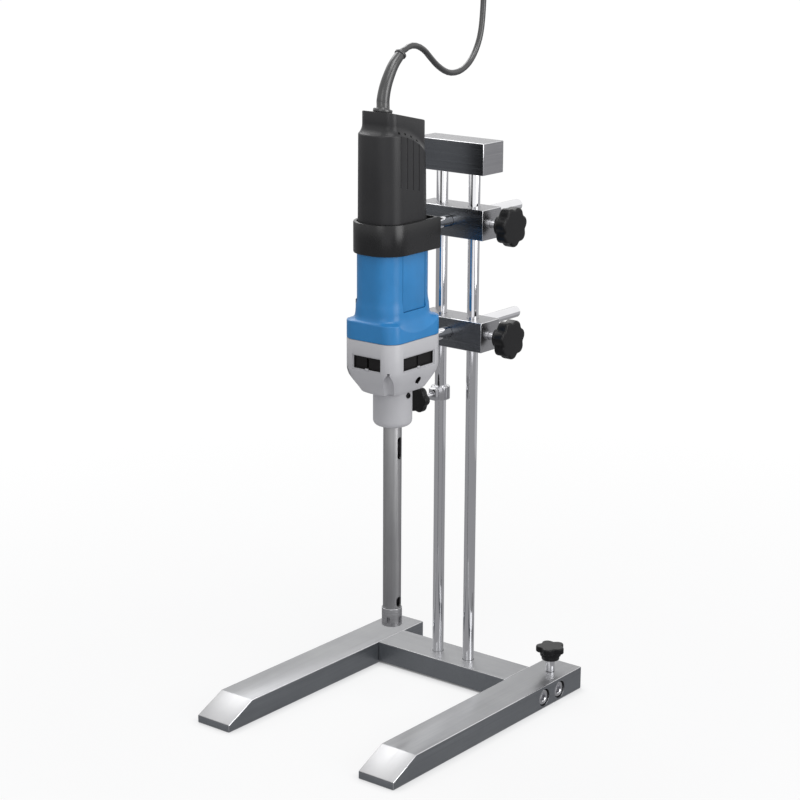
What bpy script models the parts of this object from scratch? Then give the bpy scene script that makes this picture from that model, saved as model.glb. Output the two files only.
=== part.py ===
"""Bench rotor stator homogenizer on its twin-column stand.

Frame: metres, +Z up, +X to the object's right, -Y towards the user.
The origin is on the bench, in the middle of the stand's footprint.
"""

import math

import bmesh
import bpy
from mathutils import Matrix, Vector

# Clearances, and how far cutters reach past a face
FIT = 0.0003
FLOOR_GAP = 0.002
PAST = 0.010

# Base: two long legs joined by a crossbar
BASE_WIDTH = 0.256
LEG_WIDTH = 0.043
LEG_HEIGHT = 0.024
LEG_LIP = 0.0077
LEG_RAMP = 0.0358
FRONT_REACH = 0.2646
REAR_REACH = 0.0574
CROSSBAR_DEPTH = 0.045

# Screws that hold the legs to the crossbar
LEG_SCREW_RADIUS = 0.004
LEG_SCREW_HEAD = 0.008
LEG_SCREW_HEAD_DEPTH = 0.008
LEG_SCREW_SINK = 0.0015
LEG_SCREW_GRIP = 0.018
LEG_SCREW_Z = 0.0114
LEG_SCREW_TIP_GAP = 0.001
LEG_SCREW_EDGE = 0.0006
LEG_SCREW_COUNTERBORE_GAP = 0.00125
FRONT_LEG_SCREW_INSET = 0.0115
REAR_LEG_SCREW_INSET = 0.0055
HEX_SOCKET = 0.0034
HEX_SOCKET_DEPTH = 0.0045

# Columns and the bar that ties their tops
COLUMN_DIAMETER = 0.012
COLUMN_PITCH = 0.0408
COLUMN_SOCKET = 0.018
COLUMN_EDGE = 0.0005
TOP_BAR_SOCKET = 0.024
TOP_BAR_UNDERSIDE = 0.5515
TOP_BAR_WIDTH = 0.087
TOP_BAR_DEPTH = 0.0342
TOP_BAR_HEIGHT = 0.0322

# Two slide blocks, the rods that they hold and the screws that lock the rods
BLOCK_WIDTH = 0.0858
BLOCK_DEPTH = 0.0318
BLOCK_HEIGHT = 0.0312
UPPER_BLOCK_DROP = 0.0352
BLOCK_PITCH = 0.1163
ROD_DIAMETER = 0.012
ROD_RISE = 0.001
ROD_TAIL = 0.1062
ROD_EDGE = 0.0008
ROD_SPIGOT = 0.004
UPPER_SPIGOT_LENGTH = 0.0020
LOWER_SPIGOT_LENGTH = 0.005
SET_SCREW_RADIUS = 0.003
SET_SCREW_LENGTH = 0.006
SET_SCREW_SOCKET = 0.00165
SET_SCREW_SOCKET_DEPTH = 0.0025

# Star knobs
BLOCK_KNOB_RADIUS = 0.0205
BLOCK_KNOB_RIM = 0.012
BLOCK_KNOB_HUB = 0.008
BLOCK_KNOB_STANDOFF = 0.0095
BLOCK_STUD_RADIUS = 0.004
BLOCK_KNOB_LOBES = 7
STOP_KNOB_RADIUS = 0.0125
STOP_KNOB_RIM = 0.008
STOP_KNOB_HUB = 0.005
STOP_KNOB_STANDOFF = 0.016
STOP_STUD_RADIUS = 0.0025
STOP_KNOB_LOBES = 6
BASE_KNOB_RADIUS = 0.0155
BASE_KNOB_RIM = 0.0065
BASE_KNOB_HUB = 0.0085
BASE_KNOB_STANDOFF = 0.0135
BASE_STUD_RADIUS = 0.004
BASE_STUD_CLEARANCE = 0.002
BASE_KNOB_LOBES = 5
BASE_KNOB_INSET = 0.020
BASE_KNOB_BACK = 0.028

# Stop collar on the left column
COLLAR_RADIUS = 0.010
COLLAR_HEIGHT = 0.014
COLLAR_DROP = 0.0473
COLLAR_EDGE = 0.0006
COLLAR_SLIT = 0.0015
COLLAR_LUG_REACH = 0.0145
COLLAR_LUG_WIDTH = 0.009

# Tool axis, in front of the columns
HEAD_REACH = 0.1065

# Grey nose housing
NOSE_ROD_RISE = 0.0169
NOSE_TUCK_HEIGHT = 0.0255
NOSE_BODY_HEIGHT = 0.0305
NOSE_HALF = 0.0333
NOSE_FRONT = 0.0419
NOSE_CORNER = 0.0153
NOSE_TUCK_SHARES = ((0.28, 0.11), (0.66, 0.45), (0.90, 0.67), (1.0, 1.0))
NOSE_TUCK_WIDTH = 0.0128
NOSE_SIDE_WALL = 0.0058
NOSE_END_WALL = 0.0089
NOSE_CAVITY_CORNER = 0.024
NOSE_BORE = 0.009
VENT_HEIGHT = 0.0129
VENT_RISE = 0.0021
VENT_DEPTH = 0.0145
SIDE_VENT_WIDTH = 0.0478
FRONT_VENT_WIDTH = 0.0339
VENT_FRAME = 0.0013
VENT_FRAME_DEPTH = 0.0008
GRILLE_FACE = 0.0004
GRILLE_SINK = 0.0024
GRILLE_THICKNESS = 0.0016
GRILLE_RIM = 0.0006
GRILLE_GAP = 0.0022
GRILLE_GAP_MARGIN = 0.0015
NOSE_SCREW_SIDE_INSET = 0.0095
NOSE_SCREW_END_INSET = 0.0051
NOTCH_RISE = 0.0027
NOTCH_BASE = 0.0076
NOTCH_PEAK = 0.0031
NOSE_SCREW_HEAD = 0.0028
NOSE_SCREW_HEAD_HEIGHT = 0.0022
NOSE_SCREW_RADIUS = 0.0012
NOSE_SCREW_LENGTH = 0.018
SPANNER_HOLE = 0.0032
SPANNER_HOLE_DEPTH = 0.005
SPANNER_HOLE_DROP = 0.0122
SPANNER_HOLE_INSET = 0.0036
SPANNER_HOLE_Y = 0.003
SPANNER_HOLE_TILT = math.radians(24)

# Blue grip housing
FLANGE_HEIGHT = 0.0179
GRIP_HALF = 0.0263
GRIP_FRONT = 0.0374
GRIP_REAR = 0.0353
GRIP_CORNER = 0.020
GRIP_REAR_CORNER = 0.0197
FILLET_HEIGHT = 0.0023
SWELL_HEIGHT = 0.0138
SWELL_BLEND = 0.003
GRIP_WALL = 0.003
SEAM_RISE = 0.0149
SCOOP_DIP = 0.010
SCOOP_HALF = 0.031
PANEL_HALF = 0.018
PANEL_RISE = 0.0106
PANEL_DROP = 0.0031
PANEL_THICKNESS = 0.0014

# Slide switch on the left side, over the flange
SWITCH_RISE = 0.0108
SWITCH_FORWARD = 0.0125
SWITCH_SLOT_WIDTH = 0.008
SWITCH_TRAVEL = 0.008
SWITCH_HEIGHT = 0.014
SWITCH_THUMB_WIDTH = 0.016
SWITCH_THUMB_LIFT = 0.0024
SWITCH_THUMB_DEPTH = 0.0032
SWITCH_RIB_PITCH = 0.003
SWITCH_RIB_GAP = 0.001
SWITCH_RIB_DEPTH = 0.0006

# Black ring clamp
CLAMP_SIDE_WALL = 0.0042
CLAMP_FRONT_WALL = 0.0044
CLAMP_REAR_WALL = 0.0026
CLAMP_CORNER = 0.027
CLAMP_REAR_CORNER = 0.002
CLAMP_INNER_REAR_CORNER = 0.006

# Black upper housing
REAR_BACK_STEP = 0.0014
REAR_SIDE_TAPER = 0.0006
REAR_BACK_TAPER = 0.0013
REAR_CORNER = 0.0215
SHOULDER_HEIGHT = 0.0857
SHOULDER_EDGE = 0.0004
SHOULDER_FALL_START = -0.026
SHOULDER_DROP = 9.1
CAP_SIDE_STEP = 0.0045
CAP_FRONT_STEP = 0.0088
CAP_BACK_STEP = 0.0041
CAP_CORNER = 0.0090
CAP_RISE = 0.0075
CAP_HEIGHT = 0.0228
CAP_BLEND_ROOM = 0.004
CAP_EDGE = 0.0005
CAP_TOP_SLOPE = 0.221
REAR_WALL = 0.003
BULKHEAD_RISE = 0.005
BULKHEAD_THICKNESS = 0.010
WIRE_HOLE = 0.004
WIRE_HOLE_Y = 0.022
GROOVE_PITCH = 0.0092
GROOVE_FIRST = -0.0200
GROOVE_COUNT = 4
GROOVE_WIDTH = 0.0022
GROOVE_DEPTH = 0.0010
GROOVE_DROP = 0.0506
GROOVE_HOLE_DROP = 0.0008
GROOVE_HOLE = 0.0013
GROOVE_HOLE_DEPTH = 0.002
CEILING_GAP = 0.005
BOARD_THICKNESS = 0.0016
BOARD_WIDTH = 0.036
BOARD_HEIGHT = 0.050
BOARD_Y = 0.012

# Neck and the tool that it holds
NECK_RADIUS = 0.01985
NECK_LENGTH = 0.0367
NECK_EDGE = 0.006
TOOL_LENGTH = 0.2516
TUBE_RADIUS = 0.0094
TUBE_WALL = 0.0015
TUBE_TOP_GAP = 0.0008
LOCK_SCREW_RADIUS = 0.0028
LOCK_SCREW_DROP = 0.0038
LOCK_SCREW_PROUD = 0.0012
LOCK_SCREW_EDGE = 0.0005
DRAIN_SLOT_WIDTH = 0.006
DRAIN_SLOT_DROP = 0.0119
DRAIN_SLOT_LENGTH = 0.0235
VENT_SLOT_WIDTH = 0.007
VENT_SLOT_RISE = 0.0015
VENT_SLOT_LENGTH = 0.011
STATOR_WALL = 0.0008
STATOR_HEIGHT = 0.0191
STATOR_SOCKET = 0.008
STATOR_STEP = 0.0008
STATOR_EDGE = 0.0007
STATOR_SLOTS = 5
STATOR_SLOT_WIDTH = 0.0034
STATOR_SLOT_RISE = 0.0037
STATOR_SLOT_WEB = 0.0008

# Rotating drive
RUNNING_GAP = 0.0004
MOTOR_SHAFT_RADIUS = 0.004
ARMATURE_RADIUS = 0.0138
ARMATURE_GAP = 0.0055
ARMATURE_LENGTH = 0.036
ARMATURE_TEETH = 12
ARMATURE_SLOT_WIDTH = 0.0022
ARMATURE_SLOT_DEPTH = 0.0045
COMMUTATOR_RADIUS = 0.009
COMMUTATOR_DROP = 0.0115
COMMUTATOR_LENGTH = 0.014
FAN_RADIUS = 0.022
FAN_RISE = 0.004
FAN_HEIGHT = 0.013
FAN_DISC = 0.002
FAN_HUB = 0.008
FAN_BLADES = 11
FAN_BLADE_THICKNESS = 0.0012
FAN_BLADE_INSET = 0.0005
FAN_BLADE_LAP = 0.001
COUPLING_RADIUS = 0.0062
COUPLING_GAP = 0.0055
COUPLING_LENGTH = 0.024
COUPLING_WEB = 0.002
ROTOR_SHAFT_RADIUS = 0.003
SHEAR_GAP = 0.0005
ROTOR_RISE = 0.0016
ROTOR_HEIGHT = 0.0125
ROTOR_FLOOR = 0.002
ROTOR_BLADE_RISE = 0.0006
ROTOR_BLADE_START = math.radians(11.5)
ROTOR_BLADES = 4
ROTOR_BLADE_THICKNESS = 0.0022
ROTOR_HUB = 0.0040
BUSH_LENGTH = 0.007
BUSH_RISE = 0.0005

# Fixed parts of the motor
FIELD_OVERHANG = 0.002
AIR_GAP = 0.0008
BRUSH_SIZE = 0.008
LOWER_BEARING_RADIUS = 0.013
LOWER_BEARING_HEIGHT = 0.008
UPPER_BEARING_RADIUS = 0.011
UPPER_BEARING_HEIGHT = 0.007

# Mains lead, its sleeve and its plug
BOOT_FLANGE = 0.0095
BOOT_FLANGE_HEIGHT = 0.0026
BOOT_FOOT = 0.0065
BOOT_TIP = 0.0050
BOOT_RING = 0.0060
BOOT_RING_LENGTH = 0.0028
BOOT_EDGE = 0.0005
BOOT_STEP = 0.006
LEAD_DIAMETER = 0.006
PLUG_LENGTH = 0.036
PLUG_RADIUS = 0.014
PLUG_NECK = 0.0055
PLUG_NECK_LENGTH = 0.022
PLUG_EDGE = 0.001
PIN_RADIUS = 0.0024
PIN_LENGTH = 0.019
PIN_PITCH = 0.019
PIN_ROOT = 0.004

# The sleeve's centre line, back from the tool axis and up from the cap's front edge
BOOT_ROUTE = (
    (-0.0174, 0.0029),
    (-0.0152, 0.0152),
    (-0.0103, 0.0272),
    (-0.0008, 0.0414),
    (0.0112, 0.0520),
)
# The lead's centre line, back from the tool axis and up from the cap's front edge
LEAD_ROUTE = (
    (0.0114, 0.0522),
    (0.0236, 0.0574),
    (0.0354, 0.0572),
    (0.0475, 0.0522),
    (0.0572, 0.0446),
    (0.0687, 0.0358),
    (0.0820, 0.0288),
    (0.0936, 0.0260),
    (0.1070, 0.0269),
    (0.1204, 0.0326),
    (0.1304, 0.0418),
    (0.1378, 0.0533),
    (0.1420, 0.0654),
    (0.1442, 0.0799),
    (0.1453, 0.0947),
    (0.1458, 0.1102),
    (0.1460, 0.1232),
)

# Roundness of the facets
ROUND_STEPS = 20
SMALL_STEPS = 14
CORNER_STEPS = 4
SIDE_STEPS = 5
LOBE_STEPS = 4
NECK_EDGE_STEPS = 3
NOSE_SCREW_STEPS = 8
GROOVE_CUT_STEPS = 8
SLOT_END_STEPS = 6
ROUTE_STEPS = 12

# Places worked out from the sizes above
COLUMN_Y = (FRONT_REACH - ROD_TAIL) / 2
AXIS_Y = COLUMN_Y - HEAD_REACH
LEG_SCREW_PLACES = (
    FRONT_LEG_SCREW_INSET - CROSSBAR_DEPTH / 2,
    CROSSBAR_DEPTH / 2 - REAR_LEG_SCREW_INSET,
)
BASE_KNOB_X = BASE_WIDTH / 2 - BASE_KNOB_INSET
UPPER_BLOCK_UNDERSIDE = TOP_BAR_UNDERSIDE - UPPER_BLOCK_DROP - BLOCK_HEIGHT
LOWER_BLOCK_UNDERSIDE = UPPER_BLOCK_UNDERSIDE - BLOCK_PITCH
UPPER_ROD_Z = UPPER_BLOCK_UNDERSIDE + BLOCK_HEIGHT / 2 + ROD_RISE
LOWER_ROD_Z = LOWER_BLOCK_UNDERSIDE + BLOCK_HEIGHT / 2 + ROD_RISE
COLLAR_Z = LOWER_BLOCK_UNDERSIDE - COLLAR_DROP - COLLAR_HEIGHT / 2
CLAMP_UNDERSIDE = UPPER_BLOCK_UNDERSIDE
CLAMP_TOP = UPPER_BLOCK_UNDERSIDE + BLOCK_HEIGHT
CLAMP_REAR = GRIP_REAR + FIT + CLAMP_REAR_WALL

# Heights of the nose and the grip
NOSE_CREASE = LOWER_ROD_Z - NOSE_ROD_RISE
NOSE_UNDERSIDE = NOSE_CREASE - NOSE_TUCK_HEIGHT
NOSE_TOP = NOSE_CREASE + NOSE_BODY_HEIGHT
NOSE_SCREW_X = NOSE_HALF - NOSE_SCREW_SIDE_INSET
NOSE_SCREW_Y = NOSE_FRONT - NOSE_SCREW_END_INSET
VENT_UNDERSIDE = NOSE_CREASE + VENT_RISE
NOTCH_TOP = NOSE_CREASE + NOTCH_RISE
FLANGE_TOP = NOSE_TOP + FIT + FLANGE_HEIGHT
GRIP_FOOT = FLANGE_TOP + FILLET_HEIGHT
GRIP_SWELL_TOP = FLANGE_TOP + SWELL_HEIGHT
PANEL_UNDERSIDE = FLANGE_TOP + PANEL_RISE
PANEL_TOP = CLAMP_UNDERSIDE - PANEL_DROP
SWITCH_Z = FLANGE_TOP + SWITCH_RISE
SWITCH_Y = AXIS_Y - SWITCH_FORWARD
HOUSING_SEAM = CLAMP_UNDERSIDE + SEAM_RISE

# Upper housing
REAR_FOOT_HALF = GRIP_HALF - FIT
REAR_FOOT_BACK = GRIP_REAR - REAR_BACK_STEP
REAR_SHOULDER_HALF = REAR_FOOT_HALF - REAR_SIDE_TAPER
REAR_SHOULDER_BACK = REAR_FOOT_BACK - REAR_BACK_TAPER
CAP_HALF = REAR_SHOULDER_HALF - CAP_SIDE_STEP
CAP_FRONT = GRIP_FRONT - CAP_FRONT_STEP
CAP_BACK = REAR_SHOULDER_BACK - CAP_BACK_STEP
SHOULDER_Z = CLAMP_TOP + SHOULDER_HEIGHT
CAP_TOP_FRONT = SHOULDER_Z + CAP_HEIGHT
BULKHEAD_UNDERSIDE = HOUSING_SEAM + BULKHEAD_RISE

# Neck and tool
NECK_UNDERSIDE = NOSE_UNDERSIDE - FIT - NECK_LENGTH
TUBE_TOP = NOSE_UNDERSIDE - TUBE_TOP_GAP
LOCK_SCREW_Z = NOSE_UNDERSIDE - LOCK_SCREW_DROP
DRAIN_SLOT_UNDERSIDE = NECK_UNDERSIDE - DRAIN_SLOT_DROP - DRAIN_SLOT_LENGTH
STATOR_RADIUS = TUBE_RADIUS + FIT + STATOR_WALL
STATOR_BORE = TUBE_RADIUS - STATOR_STEP
STATOR_UNDERSIDE = NOSE_UNDERSIDE - TOOL_LENGTH
STATOR_TOP = STATOR_UNDERSIDE + STATOR_HEIGHT
STATOR_SLOT_UNDERSIDE = STATOR_UNDERSIDE + STATOR_SLOT_RISE
VENT_SLOT_UNDERSIDE = STATOR_TOP + VENT_SLOT_RISE
BUSH_UNDERSIDE = VENT_SLOT_UNDERSIDE + VENT_SLOT_LENGTH + BUSH_RISE
ROTOR_UNDERSIDE = STATOR_UNDERSIDE + ROTOR_RISE

# Motor
COUPLING_UNDERSIDE = NOSE_CREASE - LOWER_BEARING_HEIGHT - COUPLING_GAP - COUPLING_LENGTH
FAN_UNDERSIDE = NOSE_CREASE + FAN_RISE
COMMUTATOR_UNDERSIDE = BULKHEAD_UNDERSIDE - COMMUTATOR_DROP - COMMUTATOR_LENGTH
ARMATURE_UNDERSIDE = COMMUTATOR_UNDERSIDE - ARMATURE_GAP - ARMATURE_LENGTH
FIELD_UNDERSIDE = ARMATURE_UNDERSIDE - FIELD_OVERHANG
FIELD_LENGTH = ARMATURE_LENGTH + 2 * FIELD_OVERHANG
FIELD_BORE = ARMATURE_RADIUS + AIR_GAP

PARTS = None
CUTTERS = None


def clear_scene():
    for item in list(bpy.data.objects):
        bpy.data.objects.remove(item, do_unlink=True)


def make_collections():
    global PARTS, CUTTERS
    PARTS = bpy.data.collections.new("rotor_stator_homogenizer")
    CUTTERS = bpy.data.collections.new("cutters")
    bpy.context.scene.collection.children.link(PARTS)
    bpy.context.scene.collection.children.link(CUTTERS)


def finish(name, colour, roughness, metallic):
    """A Principled material of one colour."""
    material = bpy.data.materials.new(name)
    material.use_nodes = True
    shader = material.node_tree.nodes["Principled BSDF"]
    shader.inputs["Base Color"].default_value = (*colour, 1.0)
    shader.inputs["Roughness"].default_value = roughness
    shader.inputs["Metallic"].default_value = metallic
    material.diffuse_color = (*colour, 1.0)
    return material


def make_finishes():
    return {
        "satin_steel": finish("satin_steel", (0.45, 0.46, 0.48), 0.35, 1.0),
        "chrome": finish("chrome", (0.80, 0.80, 0.82), 0.08, 1.0),
        "dark_steel": finish("dark_steel", (0.10, 0.11, 0.12), 0.22, 0.8),
        "tool_steel": finish("tool_steel", (0.42, 0.42, 0.43), 0.40, 1.0),
        "black_plastic": finish("black_plastic", (0.028, 0.028, 0.030), 0.45, 0.0),
        "knob_plastic": finish("knob_plastic", (0.020, 0.020, 0.022), 0.40, 0.0),
        "blue_plastic": finish("blue_plastic", (0.035, 0.20, 0.48), 0.38, 0.0),
        "grey_plastic": finish("grey_plastic", (0.52, 0.52, 0.54), 0.45, 0.0),
        "rubber": finish("rubber", (0.06, 0.06, 0.06), 0.60, 0.0),
        "copper": finish("copper", (0.70, 0.32, 0.18), 0.35, 1.0),
        "lamination": finish("lamination", (0.22, 0.22, 0.23), 0.50, 1.0),
        "carbon": finish("carbon", (0.03, 0.03, 0.03), 0.80, 0.0),
        "bush_plastic": finish("bush_plastic", (0.80, 0.79, 0.74), 0.50, 0.0),
        "board": finish("board", (0.02, 0.18, 0.08), 0.50, 0.0),
    }


def place(name, mesh, material, location=(0.0, 0.0, 0.0)):
    """Puts a mesh in the scene as a named sub-part."""
    piece = bpy.data.objects.new(name, mesh)
    piece.location = location
    mesh.materials.clear()
    mesh.materials.append(material)
    PARTS.objects.link(piece)
    return piece


def place_cutter(name, mesh, location=(0.0, 0.0, 0.0)):
    cutter = bpy.data.objects.new(name, mesh)
    cutter.location = location
    cutter.hide_render = True
    cutter.display_type = "WIRE"
    CUTTERS.objects.link(cutter)
    return cutter


def combine(piece, tool, operation):
    """A live exact boolean of the piece with the tool."""
    change = piece.modifiers.new(tool.name, "BOOLEAN")
    change.object = tool
    change.operation = operation
    change.solver = "EXACT"


def cut(piece, tool):
    combine(piece, tool, "DIFFERENCE")


def shade(mesh, degrees=32):
    mesh.shade_smooth()
    mesh.set_sharp_from_angle(angle=math.radians(degrees))


def block_mesh(name, low, high):
    """A box between two corners."""
    shape = bmesh.new()
    bmesh.ops.create_cube(shape, size=1.0)
    low, high = Vector(low), Vector(high)
    for vert in shape.verts:
        vert.co = Vector(((vert.co[k] + 0.5) * (high[k] - low[k]) + low[k]) for k in range(3))
    mesh = bpy.data.meshes.new(name)
    shape.to_mesh(mesh)
    shape.free()
    return mesh


def cylinder_mesh(name, radius, start, end, steps=SMALL_STEPS, end_radius=None):
    """A cylinder or cone between two points."""
    start, end = Vector(start), Vector(end)
    length = (end - start).length
    shape = bmesh.new()
    bmesh.ops.create_cone(
        shape,
        cap_ends=True,
        segments=steps,
        radius1=radius,
        radius2=radius if end_radius is None else end_radius,
        depth=length,
    )
    turn = Vector((0, 0, 1)).rotation_difference(end - start).to_matrix().to_4x4()
    bmesh.ops.transform(shape, matrix=Matrix.Translation((start + end) / 2) @ turn, verts=shape.verts)
    mesh = bpy.data.meshes.new(name)
    shape.to_mesh(mesh)
    shape.free()
    return mesh


def cut_block(piece, name, low, high):
    cut(piece, place_cutter(name, block_mesh(name, low, high)))


def cut_cylinder(piece, name, radius, start, end, steps=SMALL_STEPS, end_radius=None):
    cut(piece, place_cutter(name, cylinder_mesh(name, radius, start, end, steps, end_radius)))


def turned(name, profile, material, location, closed=False, steps=ROUND_STEPS, axis="Z"):
    """A profile of (radius, height) points, turned about the piece's own Z."""
    mesh = bpy.data.meshes.new(name)
    edges = [(i, i + 1) for i in range(len(profile) - 1)]
    if closed:
        edges.append((len(profile) - 1, 0))
    mesh.from_pydata([(r, 0.0, z) for r, z in profile], edges, [])
    piece = place(name, mesh, material, location)
    turn = piece.modifiers.new("turn", "SCREW")
    turn.axis = "Z"
    turn.steps = steps
    turn.render_steps = steps
    turn.use_merge_vertices = True
    turn.merge_threshold = 0.00001
    turn.use_smooth_shade = True
    turns = {"Z": (0.0, 0.0, 0.0), "Y": (-math.pi / 2, 0.0, 0.0), "X": (0.0, math.pi / 2, 0.0)}
    piece.rotation_euler = turns[axis]
    return piece


def rod(radius, bottom, top):
    """The profile of a plain round bar."""
    return [(0.0, top), (radius, top), (radius, bottom), (0.0, bottom)]


def sleeve(outer, inner, bottom, top):
    """The closed profile of a plain tube."""
    return [(outer, top), (outer, bottom), (inner, bottom), (inner, top)]


def rounded_outline(half, front, back, corner, back_corner=None):
    """A rounded rectangle about the tool axis, anticlockwise from above, with points along its sides."""
    back_corner = corner if back_corner is None else back_corner
    corners = (
        (half - corner, corner - front, corner, -90),
        (half - back_corner, back - back_corner, back_corner, 0),
        (back_corner - half, back - back_corner, back_corner, 90),
        (corner - half, corner - front, corner, 180),
    )
    points = []
    for number, (x, y, radius, first) in enumerate(corners):
        for step in range(CORNER_STEPS + 1):
            angle = math.radians(first + 90 * step / CORNER_STEPS)
            points.append(Vector((x + radius * math.cos(angle), y + radius * math.sin(angle))))
        if number in (0, 2):
            after = corners[number + 1]
            angle = math.radians(after[3])
            end = Vector((after[0] + after[2] * math.cos(angle), after[1] + after[2] * math.sin(angle)))
            start = points[-1].copy()
            points += [start.lerp(end, k / SIDE_STEPS) for k in range(1, SIDE_STEPS)]
    return points


def level(outline, height):
    """The outline at a height, which may be a number or a function of x and y."""
    if callable(height):
        return [Vector((p.x, p.y + AXIS_Y, height(p.x, p.y))) for p in outline]
    return [Vector((p.x, p.y + AXIS_Y, height)) for p in outline]


def between(first, second, share):
    return [a.lerp(b, share) for a, b in zip(first, second)]


def loft_mesh(name, sections, closed=False):
    """A skin through sections of equal count, capped at both ends or joined into a ring."""
    shape = bmesh.new()
    rings = [[shape.verts.new(p) for p in section] for section in sections]
    pairs = list(zip(rings, rings[1:]))
    if closed:
        pairs.append((rings[-1], rings[0]))
    for lower, upper in pairs:
        for i in range(len(lower)):
            j = (i + 1) % len(lower)
            shape.faces.new((lower[i], lower[j], upper[j], upper[i]))
    if not closed:
        shape.faces.new(rings[0])
        shape.faces.new(rings[-1])
    bmesh.ops.recalc_face_normals(shape, faces=shape.faces)
    mesh = bpy.data.meshes.new(name)
    shape.to_mesh(mesh)
    shape.free()
    shade(mesh)
    return mesh


def plate_mesh(name, outline, thickness, matrix):
    """A flat outline in the curve's XY plane, given a thickness and turned into place."""
    curve = bpy.data.curves.new(name, "CURVE")
    curve.dimensions = "2D"
    curve.fill_mode = "BOTH"
    curve.extrude = thickness / 2
    spline = curve.splines.new("POLY")
    spline.points.add(len(outline) - 1)
    for point, (x, y) in zip(spline.points, outline):
        point.co = (x, y, 0.0, 1.0)
    spline.use_cyclic_u = True
    holder = bpy.data.objects.new(name, curve)
    PARTS.objects.link(holder)
    bpy.context.view_layer.update()
    seen = holder.evaluated_get(bpy.context.evaluated_depsgraph_get())
    mesh = bpy.data.meshes.new_from_object(seen)
    bpy.data.objects.remove(holder, do_unlink=True)
    bpy.data.curves.remove(curve)
    shape = bmesh.new()
    shape.from_mesh(mesh)
    bmesh.ops.remove_doubles(shape, verts=shape.verts, dist=0.00001)
    bmesh.ops.transform(shape, matrix=matrix, verts=shape.verts)
    bmesh.ops.recalc_face_normals(shape, faces=shape.faces)
    shape.to_mesh(mesh)
    shape.free()
    return mesh


def joint_empty(name, location):
    empty = bpy.data.objects.new(name, None)
    empty.location = location
    empty.empty_display_size = 0.02
    PARTS.objects.link(empty)
    return empty


def attach(pieces, empty, empty_place):
    """Parents pieces to an empty that stands, unturned, at a known place."""
    for piece in pieces:
        piece.parent = empty
        piece.matrix_parent_inverse = Matrix.Translation(-Vector(empty_place))


# Base

def leg_outline():
    """Side view of a leg: back from the columns, and up."""
    front, rear = COLUMN_Y - FRONT_REACH, COLUMN_Y + REAR_REACH
    return (
        (rear, 0.0),
        (front, 0.0),
        (front, LEG_LIP),
        (front + LEG_RAMP, LEG_HEIGHT),
        (rear, LEG_HEIGHT),
    )


def make_leg(side, looks):
    centre = side * (BASE_WIDTH - LEG_WIDTH) / 2
    turn = Matrix(((0, 0, 1, centre), (1, 0, 0, 0), (0, 1, 0, 0), (0, 0, 0, 1)))
    name = "right_leg" if side > 0 else "left_leg"
    leg = place(name, plate_mesh(name, leg_outline(), LEG_WIDTH, turn), looks["satin_steel"])
    outer = side * BASE_WIDTH / 2
    inner = side * (BASE_WIDTH / 2 - LEG_WIDTH)
    seat = outer - side * (LEG_SCREW_HEAD_DEPTH + LEG_SCREW_SINK)
    past = side * PAST
    for number, back in enumerate(LEG_SCREW_PLACES):
        y = COLUMN_Y + back
        cut_cylinder(
            leg,
            f"{name}_counterbore_{number}",
            LEG_SCREW_HEAD + LEG_SCREW_COUNTERBORE_GAP,
            (seat, y, LEG_SCREW_Z),
            (outer + past, y, LEG_SCREW_Z),
            ROUND_STEPS,
        )
        cut_cylinder(
            leg,
            f"{name}_clearance_{number}",
            LEG_SCREW_RADIUS + FIT,
            (inner - past, y, LEG_SCREW_Z),
            (outer, y, LEG_SCREW_Z),
        )
    if side > 0:
        y = COLUMN_Y + BASE_KNOB_BACK
        cut_cylinder(
            leg,
            "base_knob_thread",
            BASE_STUD_RADIUS + FIT,
            (BASE_KNOB_X, y, -PAST),
            (BASE_KNOB_X, y, LEG_HEIGHT + PAST),
        )
    return leg


def make_crossbar(looks):
    half = BASE_WIDTH / 2 - LEG_WIDTH - FIT
    low = (-half, COLUMN_Y - CROSSBAR_DEPTH / 2, FLOOR_GAP)
    high = (half, COLUMN_Y + CROSSBAR_DEPTH / 2, LEG_HEIGHT)
    bar = place("crossbar", block_mesh("crossbar", low, high), looks["satin_steel"])
    for side in (-1, 1):
        x = side * COLUMN_PITCH / 2
        cut_cylinder(
            bar,
            f"column_socket_{side}",
            COLUMN_DIAMETER / 2 + FIT,
            (x, COLUMN_Y, LEG_HEIGHT - COLUMN_SOCKET - FIT),
            (x, COLUMN_Y, LEG_HEIGHT + PAST),
            ROUND_STEPS,
        )
        for number, back in enumerate(LEG_SCREW_PLACES):
            y = COLUMN_Y + back
            cut_cylinder(
                bar,
                f"crossbar_thread_{side}_{number}",
                LEG_SCREW_RADIUS + FIT,
                (side * (half - LEG_SCREW_GRIP), y, LEG_SCREW_Z),
                (side * (half + PAST), y, LEG_SCREW_Z),
            )
    return bar


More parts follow.
